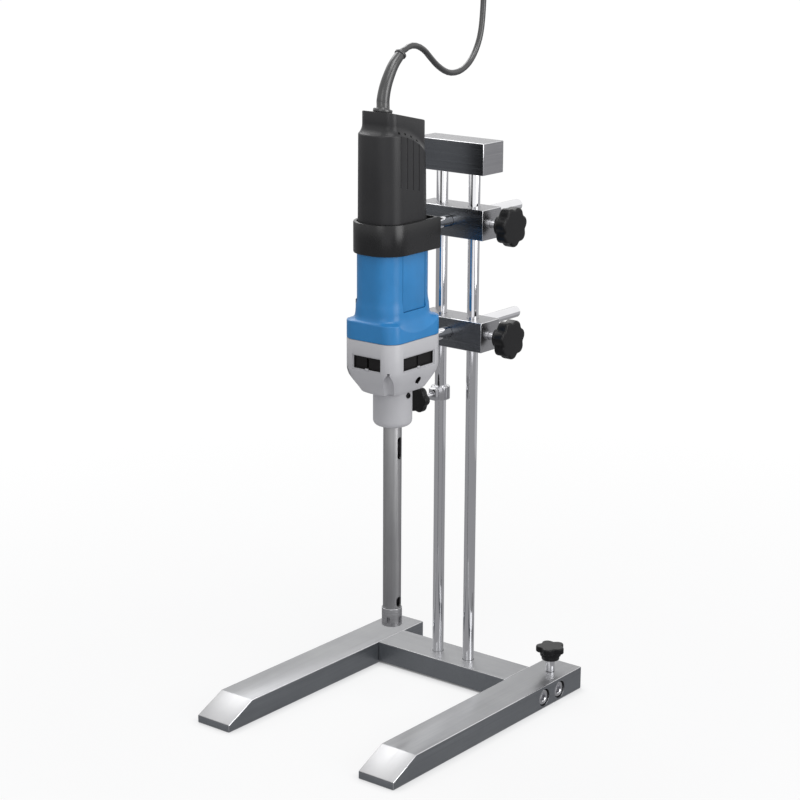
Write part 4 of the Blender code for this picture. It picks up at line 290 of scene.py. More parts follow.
def make_finishes():
    steel = (0.295, 0.298, 0.305)
    side_steel = (0.305, 0.320, 0.338)
    dark_steel = (0.18, 0.19, 0.204)
    along_x, along_y = (6.0, 900.0, 900.0), (900.0, 6.0, 900.0)
    faint = (0.04, 0.00001)
    plastics = {
        "black": ("black_moulding", (0.021, 0.021, 0.0225), 0.38, 0.00003, 0.3),
        "clamp": ("clamp_moulding", (0.010, 0.010, 0.0108), 0.28, 0.00003, 0.4),
        "knob": ("knob_moulding", (0.0065, 0.0065, 0.0072), 0.36, 0.00003, 0.25),
        "grille": ("grille_moulding", (0.006, 0.0055, 0.006), 0.55, 0.00003, 0.2),
        "blue": ("blue_moulding", (0.022, 0.182, 0.435), 0.33, 0.00002, 0.4),
        "carbon": ("pressed_carbon", (0.02, 0.02, 0.02), 0.7),
        "white_plastic": ("natural_plastic", (0.72, 0.71, 0.66), 0.45),
        "board": ("green_laminate", (0.02, 0.16, 0.07), 0.35),
    }
    brushed = {
        "leg_top": ("ground_steel_along_y", steel, 0.34, along_y),
        "bar_top": ("ground_steel_along_x", steel, 0.34, along_x),
        "leg_side": ("milled_steel_side", side_steel, 0.36, along_y),
        # The ramp faces take a lighter copy of the leg steel: painted light on the slope.
        "leg_ramp": ("ground_steel_ramp", (0.42, 0.42, 0.425), 0.42, (900.0, 12.0, 12.0), 0.03),
        "block": ("dark_satin_steel", dark_steel, 0.25, (5.0, 420.0, 420.0), 0.06, 0.00001),
        # The block tops and ends are lighter copies of the dark block steel: painted light where
        # the light falls on them.
        "block_top": ("satin_steel_top", (0.27, 0.27, 0.28), 0.30, along_x),
        "block_end": ("satin_steel_end", (0.45, 0.45, 0.46), 0.24, along_y, *faint),
        "tube": ("stainless_tube", (0.40, 0.40, 0.405), 0.42, (700.0, 700.0, 8.0), 0.06),
        "stator": ("turned_stainless", (0.50, 0.50, 0.51), 0.30, (8.0, 8.0, 1400.0), 0.08),
        "copper": ("turned_copper", (0.70, 0.32, 0.18), 0.30, (8.0, 8.0, 1200.0)),
    }
    polished = {
        # On the blocks this is the bare broken edge; on the legs and crossbar it is a painted
        # highlight on the edges that face +X.
        "edge": ("bright_edge", (0.75, 0.75, 0.77), 0.18),
        "chrome": ("chrome", (0.86, 0.86, 0.88), 0.05),
        "screw": ("bright_screw", (0.70, 0.70, 0.72), 0.16),
    }
    finishes = {
        "grey": painted_casting("light_grey_casting", (0.42, 0.42, 0.44), 0.42),
        "rubber": soft_rubber("cord_rubber", (0.030, 0.030, 0.031), 0.28),
        "iron": layered_iron("layered_iron", (0.25, 0.25, 0.26)),
    }
    for builder, table in (
        (brushed_metal, brushed), (polished_metal, polished), (moulded_plastic, plastics),
    ):
        finishes.update({key: builder(*row) for key, row in table.items()})
    return finishes


looks = make_finishes()


# Shape helpers

def bevelled(shape, edges, offset, segments=2):
    bmesh.ops.bevel(
        shape, geom=list(edges), offset=offset, offset_type="OFFSET", affect="EDGES",
        segments=segments, profile=0.5, material=-1,
    )
    return shape


def at(x, y, z):
    return Matrix.Translation((x, y, z))


def placed(shape, matrix):
    bmesh.ops.transform(shape, matrix=matrix, verts=shape.verts)
    return shape


def box_shape(low, high, edge=0.0, segments=2):
    """A box between two corners, with its edges rounded."""
    shape = bmesh.new()
    bmesh.ops.create_cube(shape, size=1.0)
    low, high = Vector(low), Vector(high)
    bmesh.ops.scale(shape, vec=high - low, verts=shape.verts)
    bmesh.ops.translate(shape, vec=(low + high) / 2, verts=shape.verts)
    return bevelled(shape, shape.edges, edge, segments) if edge else shape


def extruded(outline, along):
    """A flat outline drawn out along a vector."""
    shape = bmesh.new()
    face = shape.faces.new([shape.verts.new(point) for point in outline])
    grown = bmesh.ops.extrude_face_region(shape, geom=[face])["geom"]
    moved = [item for item in grown if isinstance(item, bmesh.types.BMVert)]
    bmesh.ops.translate(shape, vec=along, verts=moved)
    bmesh.ops.recalc_face_normals(shape, faces=shape.faces)
    return shape


def rod_shape(radius, start, end, steps=ROUND, end_radius=None):
    """A plain cylinder or cone between two points."""
    start, end = Vector(start), Vector(end)
    shape = bmesh.new()
    bmesh.ops.create_cone(
        shape, cap_ends=True, segments=steps, radius1=radius,
        radius2=radius if end_radius is None else end_radius, depth=(end - start).length,
    )
    turn = Vector((0, 0, 1)).rotation_difference(end - start).to_matrix().to_4x4()
    return placed(shape, Matrix.Translation((start + end) / 2) @ turn)


def eased(points, radius, steps, closed):
    """Rounds the corners of a flat line of points."""
    points = [Vector(p) for p in points]
    out = []
    count = len(points)
    for i, corner in enumerate(points):
        if not closed and i in (0, count - 1):
            out.append(corner)
            continue
        before, after = points[i - 1], points[(i + 1) % count]
        a, b = before - corner, after - corner
        if a.length < 1e-9 or b.length < 1e-9:
            continue
        half = a.angle(b) / 2
        if half > math.radians(87):
            out.append(corner)
            continue
        reach = min(radius / math.tan(half), a.length * 0.49, b.length * 0.49)
        first, last = corner + a.normalized() * reach, corner + b.normalized() * reach
        for k in range(steps + 1):
            t = k / steps
            out.append(first * (1 - t) ** 2 + corner * 2 * t * (1 - t) + last * t * t)
    return out


def turned(profile, steps, closed):
    """A profile of (radius, height) points spun about Z."""
    shape = bmesh.new()
    verts = [shape.verts.new((p[0], 0.0, p[1])) for p in profile]
    edges = [shape.edges.new(pair) for pair in zip(verts, verts[1:])]
    if closed:
        edges.append(shape.edges.new((verts[-1], verts[0])))
    bmesh.ops.spin(
        shape, geom=verts + edges, cent=(0, 0, 0), axis=(0, 0, 1), dvec=(0, 0, 0),
        angle=2 * math.pi, steps=steps, use_merge=True, use_duplicate=False,
    )
    bmesh.ops.remove_doubles(shape, verts=shape.verts, dist=0.0000005)
    bmesh.ops.recalc_face_normals(shape, faces=shape.faces)
    return shape


def rounded_outline(half, front, back, corner, back_corner=None, bend=10, side=16):
    """A rounded rectangle about the tool axis, with points along its two long sides."""
    back_corner = corner if back_corner is None else back_corner
    corners = (
        (half - corner, corner - front, corner, -90),
        (half - back_corner, back - back_corner, back_corner, 0),
        (back_corner - half, back - back_corner, back_corner, 90),
        (corner - half, corner - front, corner, 180),
    )
    points = []
    for number, (x, y, radius, first) in enumerate(corners):
        for step in range(bend + 1):
            angle = math.radians(first + 90 * step / bend)
            points.append(Vector((x + radius * math.cos(angle), y + radius * math.sin(angle))))
        if number in (0, 2):
            x, y, radius, first = corners[number + 1]
            angle = math.radians(first)
            end = Vector((x + radius * math.cos(angle), y + radius * math.sin(angle)))
            start = points[-1].copy()
            points += [start.lerp(end, k / side) for k in range(1, side)]
    return points


def inset_outline(sizes, inset, **steps):
    """A rounded outline with every size smaller by the inset."""
    return rounded_outline(*[size - inset for size in sizes], **steps)


def level(outline, height):
    """The outline at a height, which may be a number or a function of x and y."""
    rise = height if callable(height) else lambda x, y: height
    return [Vector((p.x, p.y + AXIS_Y, rise(p.x, p.y))) for p in outline]


def between(first, second, share):
    return [a.lerp(b, share) for a, b in zip(first, second)]


def loft(sections, closed=False):
    """Extrudes one ring of edges through the sections and caps or joins its ends."""
    shape = bmesh.new()
    place = shape.verts.layers.int.new("place")
    ring = [shape.verts.new(point) for point in sections[0]]
    for number, vert in enumerate(ring):
        vert[place] = number
    edges = start = [shape.edges.new(pair) for pair in zip(ring, ring[1:] + ring[:1])]
    for section in sections[1:] + ([sections[0]] if closed else []):
        made = bmesh.ops.extrude_edge_only(shape, edges=edges)["geom"]
        fresh = {item for item in made if isinstance(item, bmesh.types.BMVert)}
        for vert in fresh:
            vert.co = section[vert[place]]
        edges = [
            item for item in made
            if isinstance(item, bmesh.types.BMEdge) and fresh.issuperset(item.verts)
        ]
    if closed:
        bmesh.ops.remove_doubles(shape, verts=shape.verts, dist=0.0000005)
    else:
        bmesh.ops.contextual_create(shape, geom=start)
        bmesh.ops.contextual_create(shape, geom=edges)
    bmesh.ops.recalc_face_normals(shape, faces=shape.faces)
    return shape


def bar_profile(radius, low, high):
    return (0.0, high), (radius, high), (radius, low), (0.0, low)


def ring_profile(outer, inner, low, high):
    return (outer, high), (outer, low), (inner, low), (inner, high)


def lathed(profile, easing, rounds, steps, matrix, closed=False):
    """A turned shape with eased corners, put in its place."""
    return placed(turned(eased(profile, easing, rounds, closed), steps, closed), matrix)


def mesh_of(name, shape):
    mesh = bpy.data.meshes.new(name)
    shape.to_mesh(mesh)
    shape.free()
    return mesh


def shaded(mesh, degrees):
    mesh.shade_smooth()
    mesh.set_sharp_from_angle(angle=math.radians(degrees))


def carve(piece, *tools, operation="DIFFERENCE", degrees=35):
    """Cuts or joins closed shapes and keeps the result as the piece's own mesh."""
    holders = []
    for number, tool in enumerate(tools):
        holder = new_object(f"{piece.name}_tool_{number}", mesh_of("tool", tool))
        change = piece.modifiers.new("cut", "BOOLEAN")
        change.object = holder
        change.operation = operation
        change.solver = "EXACT"
        holders.append(holder)
    bpy.context.view_layer.update()
    seen = piece.evaluated_get(bpy.context.evaluated_depsgraph_get())
    mesh = bpy.data.meshes.new_from_object(seen)
    piece.modifiers.clear()
    old = piece.data
    piece.data = mesh
    mesh.name = old.name
    bpy.data.meshes.remove(old)
    for holder in holders:
        data = holder.data
        bpy.data.objects.remove(holder)
        bpy.data.meshes.remove(data)
    shaded(piece.data, degrees)


def piece_of(name, shape, finishes, body, node, degrees=35, cuts=()):
    """A finished shape as a piece that rides on a body and stands for its solid."""
    piece = new_object(name, mesh_of(name, shape))
    for finish in finishes.split():
        piece.data.materials.append(looks[finish])
    shaded(piece.data, degrees)
    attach(piece, body)
    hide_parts(node)
    if cuts:
        carve(piece, *cuts, degrees=degrees)
    return piece


def by_facing(piece, end=1, slope=1, edge=2, quiet=None):
    """Gives each face a finish by the way it faces; edges turned away may take the quiet one, so
    the bright edge, there a painted highlight, shows only where edges face +X.
    """
    top, side = 0, 1
    for face in piece.data.polygons:
        n = face.normal
        if n.z > 0.999:
            finish = top
        elif slope != side and n.z > 0.85 and n.y < -0.3 and abs(n.x) < 0.02:
            finish = slope
        elif abs(n.x) > 0.999:
            finish = end
        elif max(abs(n.y), abs(n.z)) > 0.999 or face.area >= 0.00012:
            finish = side
        elif quiet is not None and n.x < 0.2:
            finish = quiet if n.z > 0.2 else side
        else:
            finish = edge
        face.material_index = finish


AXIS = at(0.0, AXIS_Y, 0.0)
TO_X = Matrix.Rotation(math.pi / 2, 4, "Y")
TO_BACK = Matrix.Rotation(-math.pi / 2, 4, "X")
TO_FRONT = Matrix.Rotation(math.pi / 2, 4, "X")
SIDES = ((-1, "left"), (1, "right"))


def upright(radius, x, y, low, high, steps=ROUND, end_radius=None):
    return rod_shape(radius, (x, y, low), (x, y, high), steps, end_radius)


def column_bores(low, high):
    return [upright(BAR_BORE, x, COLUMN_Y, low, high) for x in (-COLUMN_X, COLUMN_X)]


# Mains lead, sleeve and plug, first because their room is tested

BOOT_ROUTE = (
    (-0.0174, 0.6277), (-0.0152, 0.6400), (-0.0103, 0.6520), (-0.0008, 0.6662), (0.0112, 0.6768),
)
LEAD_ROUTE = (
    (0.0114, 0.6770), (0.0236, 0.6822), (0.0354, 0.6820), (0.0475, 0.6770), (0.0572, 0.6694),
    (0.0687, 0.6606), (0.0820, 0.6536), (0.0936, 0.6508), (0.1070, 0.6517), (0.1204, 0.6574),
    (0.1304, 0.6666), (0.1378, 0.6781), (0.1420, 0.6902), (0.1442, 0.7047), (0.1453, 0.7195),
    (0.1458, 0.7350), (0.1460, 0.7480),
)
LEAD_DIAMETER = 0.006


def smooth_route(points, spacing):
    """Evenly spaced points on a smooth curve through the route's points."""
    points = [Vector((0.0, AXIS_Y + back, up)) for back, up in points]
    ends = [2 * points[0] - points[1], *points, 2 * points[-1] - points[-2]]
    fine = []
    for a, b, c, d in zip(ends, ends[1:], ends[2:], ends[3:]):
        for step in range(12):
            t = step / 12
            fine.append(0.5 * (
                2 * b + (c - a) * t + (2 * a - 5 * b + 4 * c - d) * t * t
                + (3 * b - a - 3 * c + d) * t ** 3
            ))
    fine.append(points[-1])
    total = sum((q - p).length for p, q in zip(fine, fine[1:]))
    count = max(2, round(total / spacing))
    even = [fine[0]]
    gone = 0.0
    for p, q in zip(fine, fine[1:]):
        step = (q - p).length
        while len(even) < count and gone + step >= total * len(even) / count:
            even.append(p.lerp(q, (total * len(even) / count - gone) / step))
        gone += step
    even.append(fine[-1])
    return even


def round_section(centre, direction, radius):
    steps = 40
    side = Vector((1.0, 0.0, 0.0))
    other = direction.normalized().cross(side)
    return [
        centre
        + side * (radius * math.cos(2 * math.pi * k / steps))
        + other * (radius * math.sin(2 * math.pi * k / steps))
        for k in range(steps)
    ]


def cap_top(x, y):
    return 0.6237 - CAP_SLOPE * (y + 0.026)


def make_sleeve(boot, out):
    """The lead's sleeve: a foot on the cap, a bent tapered tube and an end ring."""
    up = Vector((0.0, CAP_SLOPE, 1.0)).normalized()
    foot = Vector((0.0, boot[0].y, cap_top(0.0, boot[0].y - AXIS_Y) + FIT))
    sections = [round_section(foot + up * rise, up, radius) for rise, radius in (
        (0.0, 0.0093), (0.0003, 0.0095), (0.0028, 0.0095), (0.0034, 0.0092), (0.0036, 0.0086),
        (0.0038, 0.0070), (0.0046, 0.0065),
    )]
    last = len(boot) - 1
    for number in range(2, last - 1):
        radius = 0.0065 + (0.0050 - 0.0065) * (number / last)
        sections.append(round_section(boot[number], boot[number + 1] - boot[number - 1], radius))
    ring = boot[-1] - out * 0.0028
    sections += [round_section(ring + out * reach, out, radius) for reach, radius in (
        (0.0, 0.0050), (0.0001, 0.0057), (0.0005, 0.0060), (0.0023, 0.0060), (0.0027, 0.0056),
        (0.0028, 0.0046),
    )]
    piece_of("lead_sleeve", loft(sections), "rubber", "head", "strain_relief", 50)


def make_plug(end):
    profile = [
        (0.0, 0.058), (0.0140, 0.058), (0.0140, 0.0382), (0.0101, 0.0274), (0.0066, 0.0220),
        (0.0060, 0.0215), (0.0060, 0.0185), (0.0052, 0.0180), (0.0052, 0.0160), (0.0057, 0.0155),
        (0.0057, 0.0125), (0.0049, 0.0120), (0.0049, 0.0100), (0.0054, 0.0095), (0.0054, 0.0065),
        (0.0046, 0.0060), (0.0044, 0.0), (0.0, 0.0),
    ]
    shape = lathed(profile, 0.0008, 3, 48, Matrix.Translation(end))
    plug = piece_of("supply_plug", shape, "rubber screw", "head", "mains_plug", 50)
    pin = bar_profile(0.0024, 0.0575, 0.077)
    carve(plug, *[
        lathed(pin, 0.0012, 4, 24, Matrix.Translation(end + Vector((x, 0.0, 0.0))))
        for x in (-0.0095, 0.0095)
    ], operation="UNION", degrees=50)
    for face in plug.data.polygons:
        face.material_index = 1 if face.center.z > end.z + 0.0583 else 0
    return plug


def make_cord():
    boot = smooth_route(BOOT_ROUTE, 0.0025)
    out = (boot[-1] - boot[-2]).normalized()
    start = boot[-1] + out * FIT
    line = [start, start + out * 0.003, *smooth_route(LEAD_ROUTE, LEAD_DIAMETER)[1:]]
    curve = bpy.data.curves.new("supply_lead", "CURVE")
    curve.dimensions = "3D"
    curve.bevel_depth = LEAD_DIAMETER / 2
    curve.bevel_resolution = 6
    curve.use_fill_caps = True
    spline = curve.splines.new("POLY")
    spline.points.add(len(line) - 1)
    for point, spot in zip(spline.points, line):
        point.co = (*spot, 1.0)
    spline.use_smooth = True
    curve.materials.append(looks["rubber"])
    lead = new_object("supply_lead", curve)
    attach(lead, "head")
    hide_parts("mains_lead")
    make_sleeve(boot, out)
    plug = make_plug(line[-1] + Vector((0.0, 0.0, FIT)))


make_cord()


# Base

def leg_shape(side):
    near = side * (BASE_HALF - LEG_WIDTH / 2) - LEG_WIDTH / 2
    shape = extruded([(near, y, z) for y, z in (
        (LEG_REAR, 0.0), (LEG_FRONT, 0.0), (LEG_FRONT, LEG_LIP),
        (LEG_FRONT + LEG_RAMP, LEG_HEIGHT), (LEG_REAR, LEG_HEIGHT),
    )], (LEG_WIDTH, 0.0, 0.0))
    return bevelled(shape, shape.edges, BROKEN_EDGE)


def make_base():
    for side, name in SIDES:
        # The ramp slot is a lighter copy of the leg steel, painted light on the sloping face.
        leg = piece_of(
            f"{name}_base_leg", leg_shape(side), "leg_top leg_side leg_ramp edge", "stand",
            f"{name}_leg", degrees=20,
        )
        # Only the leg edges that face +X keep the bright finish: a painted highlight.
        by_facing(leg, slope=2, edge=3, quiet=0)
        outer, inner = side * BASE_HALF, side * (BASE_HALF - LEG_WIDTH)
        bores = (
            (0.00925, outer - side * 0.0095, outer + side * 0.005),
            (STUD_BORE, inner - side * 0.005, outer),
        )
        tools = [
            rod_shape(radius, (low, y, LEG_SCREW_Z), (high, y, LEG_SCREW_Z))
            for y in LEG_SCREW_YS for radius, low, high in bores
        ]
        if side > 0:
            tools.append(upright(STUD_BORE, *LEVELLING_SPOT, -0.01, 0.03))
        carve(leg, *tools, degrees=20)

    bar = box_shape(
        (-0.0847, COLUMN_Y - 0.0225, 0.002), (0.0847, COLUMN_Y + 0.0225, LEG_HEIGHT), BROKEN_EDGE
    )
    crossbar = piece_of(
        "base_crossbar", bar, "bar_top leg_side edge", "stand", "crossbar",
        degrees=20,
    )
    # Only the crossbar edges that face +X keep the bright finish: a painted highlight.
    by_facing(crossbar, quiet=0)
    carve(crossbar, *column_bores(LEG_HEIGHT - 0.0183, LEG_HEIGHT + 0.01), degrees=20)


def make_leg_screws():
    """Socket head screws: round head, chamfered hexagon hole and plain shank."""
    top = BASE_HALF - 0.0015
    foot = top - 0.008 + FIT
    profile = [
        (0.0, top), (0.0080, top), (0.0080, foot), (0.0040, foot), (0.0040, 0.068), (0.0, 0.068),
    ]
    for side, name in SIDES:
        turn = Matrix.Rotation(side * math.pi / 2, 4, "Y")
        for y, end in zip(LEG_SCREW_YS, ("front", "rear")):
            spot = at(0.0, y, LEG_SCREW_Z) @ turn
            hexagon = upright(0.0046, 0, 0, top - 0.0050, top + 0.002, 6)
            mouth = upright(0.0040, 0, 0, top - 0.0007, top + 0.0003, 48, 0.0052)
            piece_of(
                f"{name}_{end}_socket_screw", lathed(profile, 0.0006, 3, 48, spot), "screw",
                "stand", f"leg_screw_{name}_{end}",
                cuts=[placed(hexagon, spot), placed(mouth, spot)],
            )


# Columns, top bar, blocks and rods

def make_columns():
    profile = bar_profile(BAR_RADIUS, 0.006, 0.5755)
    for side, name in SIDES:
        spot = at(side * COLUMN_X, COLUMN_Y, 0.0)
        piece_of(
            f"{name}_chrome_column", lathed(profile, 0.0005, 3, ROUND, spot), "chrome", "stand",
            f"{name}_column",
        )


def square_block(name, half_x, half_y, low, high, body, node, *tools):
    """A block with bright broken edges, a satin top and glossy darker faces; its lighter top and
    much lighter ends are painted light.
    """
    shape = box_shape(
        (-half_x, COLUMN_Y - half_y, low), (half_x, COLUMN_Y + half_y, high), BROKEN_EDGE
    )
    piece = piece_of(
        name, shape, "block_top block block_end edge", body, node, degrees=20
    )
    # Tops and ends take their lighter copies of the steel here: painted light.
    by_facing(piece, end=2, edge=3)
    carve(piece, *tools, degrees=20)


def make_blocks():
    square_block(
        "column_top_bar", 0.0435, 0.0171, 0.5515, 0.5837, "stand", "top_bar",
        *column_bores(0.54, 0.5758),
    )
    for name, underside in (("upper", UPPER_BLOCK), ("lower", LOWER_BLOCK)):
        top = underside + BLOCK_HEIGHT
        middle = underside + BLOCK_HEIGHT / 2
        rod_z = middle + 0.001
        square_block(
            f"{name}_slide_block", 0.0429, 0.0159, underside, top, "carriage", f"{name}_block",
            *column_bores(underside - 0.01, top + 0.01),
            rod_shape(BAR_BORE, (0, COLUMN_Y - 0.03, rod_z), (0, COLUMN_Y + 0.03, rod_z)),
            rod_shape(STUD_BORE, (COLUMN_X, COLUMN_Y, middle), (0.06, COLUMN_Y, middle)),
            upright(0.0033, 0.0, COLUMN_Y, underside - 0.01, middle),
        )


def make_rods():
    for name, height, seat, spigot in (
        ("upper", UPPER_ROD_Z, 0.0382, 0.0020), ("lower", LOWER_ROD_Z, NOSE_FRONT, 0.0050),
    ):
        front = AXIS_Y + seat + FIT
        tip = front - FIT - spigot
        profile = [
            (0.0, ROD_REAR), (BAR_RADIUS, ROD_REAR), (BAR_RADIUS, front), (0.004, front),
            (0.004, tip), (0.0, tip),
        ]
        spot = at(0.0, 0.0, height) @ TO_BACK
        piece_of(
            f"{name}_chrome_rod", lathed(profile, 0.0008, 3, ROUND, spot), "chrome", "head",
            f"{name}_rod",
        )


# Star knobs

def lobed_ring(radius, lobes, depth, share, height, calm=0.0, steps=12):
    """One ring of a knob's edge: round lobes with narrower scallops between them."""
    points = []
    for step in range(lobes * steps):
        angle = 2 * math.pi * step / (lobes * steps)
        away = (1 - math.cos(lobes * angle)) / 2
        dip = away * (0.6 + 0.4 * away * away)
        reach = (radius - depth * dip) * (1 - calm) + radius * 0.84 * calm
        reach *= share
        points.append(Vector((reach * math.cos(angle), reach * math.sin(angle), height)))
    return points


def knob_shape(radius, rim, hub, lobes, waist):
    """A star knob, ring by ring: share of the radius, height and how round the ring is."""
    depth = radius * (0.14 if lobes > 5 else 0.24)
    edge = rim * 0.14
    top = hub + rim
    return loft([lobed_ring(radius, lobes, depth, *row) for row in (
        (0.30, 0.0, 1.0), (waist - 0.02, 0.0, 1.0), (waist, 0.0002, 1.0),
        (waist + 0.025, hub * 0.45, 1.0), (waist + 0.05, hub * 0.5, 1.0),
        (waist + 0.12, hub * 0.52, 1.0), (waist + 0.13, hub * 0.6, 1.0),
        (waist + 0.14, hub * 0.97, 0.95), (0.89, hub, 0.6), (0.95, hub, 0.0),
        (0.985, hub + edge * 0.35, 0.0), (1.0, hub + edge, 0.0), (1.0, top - edge * 1.4, 0.0),
        (0.992, top - edge * 0.8, 0.0), (0.968, top - edge * 0.25, 0.0),
        (0.93, top - edge * 0.02, 0.0), (0.86, top, 0.2), (0.40, top, 0.9),
    )])


def make_knob(name, radius, rim, hub, lobes, spot, body, node, socket, waist=0.62):
    shape = placed(knob_shape(radius, rim, hub, lobes, waist), spot)
    bore = placed(upright(socket, 0, 0, -0.005, hub + FIT, 32), spot)
    piece_of(name, shape, "knob", body, node, 50, [bore])


def make_stud(name, profile, spot, body, node, easing):
    piece_of(name, lathed(profile, easing, 2, 40, spot), "chrome", body, node)


def make_knobs():
    for name, underside in (("upper", UPPER_BLOCK), ("lower", LOWER_BLOCK)):
        spot = at(0.0524, COLUMN_Y, underside + BLOCK_HEIGHT / 2) @ TO_X
        body = f"{name}_clamp_screw"
        make_knob(
            f"{name}_star_knob", 0.0205, 0.012, 0.008, 7, spot, body, f"{name}_knob", STUD_BORE
        )
        profile = bar_profile(0.004, COLUMN_X + BAR_RADIUS + FIT - 0.0524, 0.008)
        make_stud(f"{name}_clamp_stud", profile, spot, body, f"{name}_knob_stud", 0.0008)
    lift = 0.0135
    spot = at(*LEVELLING_SPOT, LEG_HEIGHT + lift)
    body = "levelling_screw"
    make_knob("levelling_knob", 0.0155, 0.0065, 0.0085, 5, spot, body, "base_knob", STUD_BORE, 0.72)
    foot, shelf = 0.002 - LEG_HEIGHT - lift, FIT - lift
    make_stud("levelling_stud", (
        (0.0, 0.0085), (0.004, 0.0085), (0.004, -0.0002), (0.0049, -0.0002), (0.0049, shelf),
        (0.004, shelf), (0.004, foot), (0.0, foot),
    ), spot, body, "base_knob_stud", 0.0004)
    reach = 0.0305
    spot = at(-COLUMN_X, COLUMN_Y - reach, COLLAR_Z) @ TO_FRONT
    make_knob("collar_knob", 0.0139, 0.008, 0.005, 6, spot, "stop_screw", "stop_knob", 0.0028)
    profile = bar_profile(0.0025, BAR_RADIUS + FIT - reach, 0.005)
    make_stud("collar_stud", profile, spot, "stop_screw", "stop_knob_stud", 0.0005)


def make_collar():
    half = 0.007
    profile = ring_profile(0.010, BAR_BORE, -half, half)
    spot = at(-COLUMN_X, COLUMN_Y, COLLAR_Z)
    collar = piece_of(
        "split_stop_collar", lathed(profile, 0.0006, 3, 64, spot, closed=True), "screw", "collar",
        "stop_collar",
    )
    lug = box_shape((-0.0045, -0.0145, 0.0006 - half), (0.0045, -0.0075, half - 0.0006), 0.0005)
    carve(collar, placed(lug, spot), operation="UNION")
    carve(
        collar,
        placed(rod_shape(0.0028, (0, -0.03, 0), (0, 0, 0), 40), spot),
        placed(box_shape((0.003, -0.00075, -0.014), (0.02, 0.00075, 0.014)), spot),
        degrees=30,
    )


# Grey nose housing

def nose_outline(inset, rounder=-1.0, side=20):
    corner = NOSE_CORNER + inset * rounder
    front = NOSE_FRONT - inset
    return rounded_outline(NOSE_HALF - inset, front, front, corner, bend=12, side=side)


def notch_places():
    return {
        (sx, sy): (sx * SCREW_X, AXIS_Y + sy * SCREW_Y) for sx in (-1, 1) for sy in (-1, 1)
    }


def spanner_holes():
    """The middle and the outward direction of the hole in each tucked side."""
    return [(
        Vector((side * (NOSE_HALF - 0.0036), AXIS_Y + 0.003, NOSE_CREASE - 0.0122)),
        Vector((side * 0.9135, 0.0, -0.4067)),
    ) for side in (-1, 1)]


def nose_sections():
    tuck = (
        (1.0, 1.06), (1.0, 1.0), (0.985, 0.91), (0.95, 0.78), (0.90, 0.685), (0.78, 0.57),
        (0.66, 0.45), (0.53, 0.32), (0.40, 0.20), (0.28, 0.108), (0.14, 0.042), (0.05, 0.012),
        (0.0, 0.002),
    )
    drop = NOSE_CREASE - NOSE_UNDERSIDE
    lower = [
        level(nose_outline(NOSE_TUCK_WIDTH * share, 0.2), NOSE_CREASE - drop * depth)
        for depth, share in tuck
    ]
    return lower + [
        level(nose_outline(0.0), NOSE_CREASE + 0.002),
        level(nose_outline(0.0), NOSE_TOP - 0.0006),
        level(nose_outline(0.0004), NOSE_TOP - 0.0001),
    ]


def make_nose():
    """The die cast nose: tucked lower part, framed vents, pointed screw notches, and painted shade
    inside the spanner holes.
    """
    nose = piece_of(
        "nose_casting", loft(nose_sections()), "grey grille", "head",
        "nose_housing", degrees=40,
    )
    hollow = rounded_outline(0.0275, 0.033, 0.033, 0.024)
    rear = AXIS_Y + NOSE_FRONT
    tools = [
        loft([level(hollow, NOSE_CREASE), level(hollow, NOSE_TOP + 0.01)]),
        upright(0.0133, 0, AXIS_Y, NOSE_CREASE - 0.0083, NOSE_CREASE + 0.005),
        upright(0.009, 0, AXIS_Y, NOSE_UNDERSIDE - 0.01, NOSE_CREASE),
        rod_shape(STUD_BORE, (0, rear - 0.0053, LOWER_ROD_Z), (0, rear + 0.01, LOWER_ROD_Z)),
    ]
    for low, high in vent_boxes(0.0, -0.0145, 0.01) + vent_boxes(0.0013, -0.0008, 0.01):
        tools.append(box_shape(low, high))
    for (sx, sy), (x, y) in notch_places().items():
        tools.append(upright(0.0076, x, y, NOSE_UNDERSIDE - FIT, NOTCH_TOP, 64, 0.0031))
        tools.append(upright(0.0015, x, y, NOTCH_TOP - 0.005, NOSE_TOP + 0.005, 16))
        high = (sx * 0.0240, AXIS_Y + sy * 0.0370, 0.3575)
        low = (sx * 0.0183, AXIS_Y + sy * 0.0283, NOSE_UNDERSIDE - 0.0015)
        tools.append(rod_shape(0.0054, low, high, 48))
        slit = box_shape((0.0, -0.0012, 0.3655), (0.012, 0.0012, 0.3702), 0.0002)
        bearing = math.atan2(sy * 0.788, sx * 0.615)
        turn = at(x, y, 0.0) @ Matrix.Rotation(bearing, 4, "Z")
        tools.append(placed(slit, turn))
    for mouth, out in spanner_holes():
        tools.append(rod_shape(0.0040, mouth - out * 0.005, mouth + out * 0.01, 40))
        tools.append(rod_shape(0.0041, mouth + out * 0.0002, mouth + out * 0.0040, 40, 0.0072))
    carve(nose, *tools)
    sill_tabs = wall_boxes(0.0020, 0.0020, 0.3700, 0.3719, -0.0010, -0.0002)
    tabs = [box_shape(*corners, 0.0002) for corners in sill_tabs]
    carve(nose, *tabs, operation="UNION", degrees=40)
    # The spanner holes' insides take the black grille finish: painted shade in the recesses.
    for face in nose.data.polygons:
        face.material_index = 0
        for mouth, out in spanner_holes():
            away = face.center - mouth
            depth = away.dot(out)
            if depth < 0.0001 and (away - out * depth).length < 0.0042:
                face.material_index = 1


def wall_boxes(front, side, bottom, top, near, far):
    """A box in the front wall and in both side walls, from near to far out of their faces."""
    face = AXIS_Y - NOSE_FRONT
    return [
        ((-front, face - far, bottom), (front, face - near, top)),
        ((-NOSE_HALF - far, AXIS_Y - side, bottom), (-NOSE_HALF - near, AXIS_Y + side, top)),
        ((NOSE_HALF + near, AXIS_Y - side, bottom), (NOSE_HALF + far, AXIS_Y + side, top)),
    ]


def vent_boxes(margin, near, far):
    """The front window and the two side windows."""
    bottom, top = 0.3706 - margin, 0.3835 + margin
    return wall_boxes(0.01695 + margin, 0.0239 + margin, bottom, top, near, far)


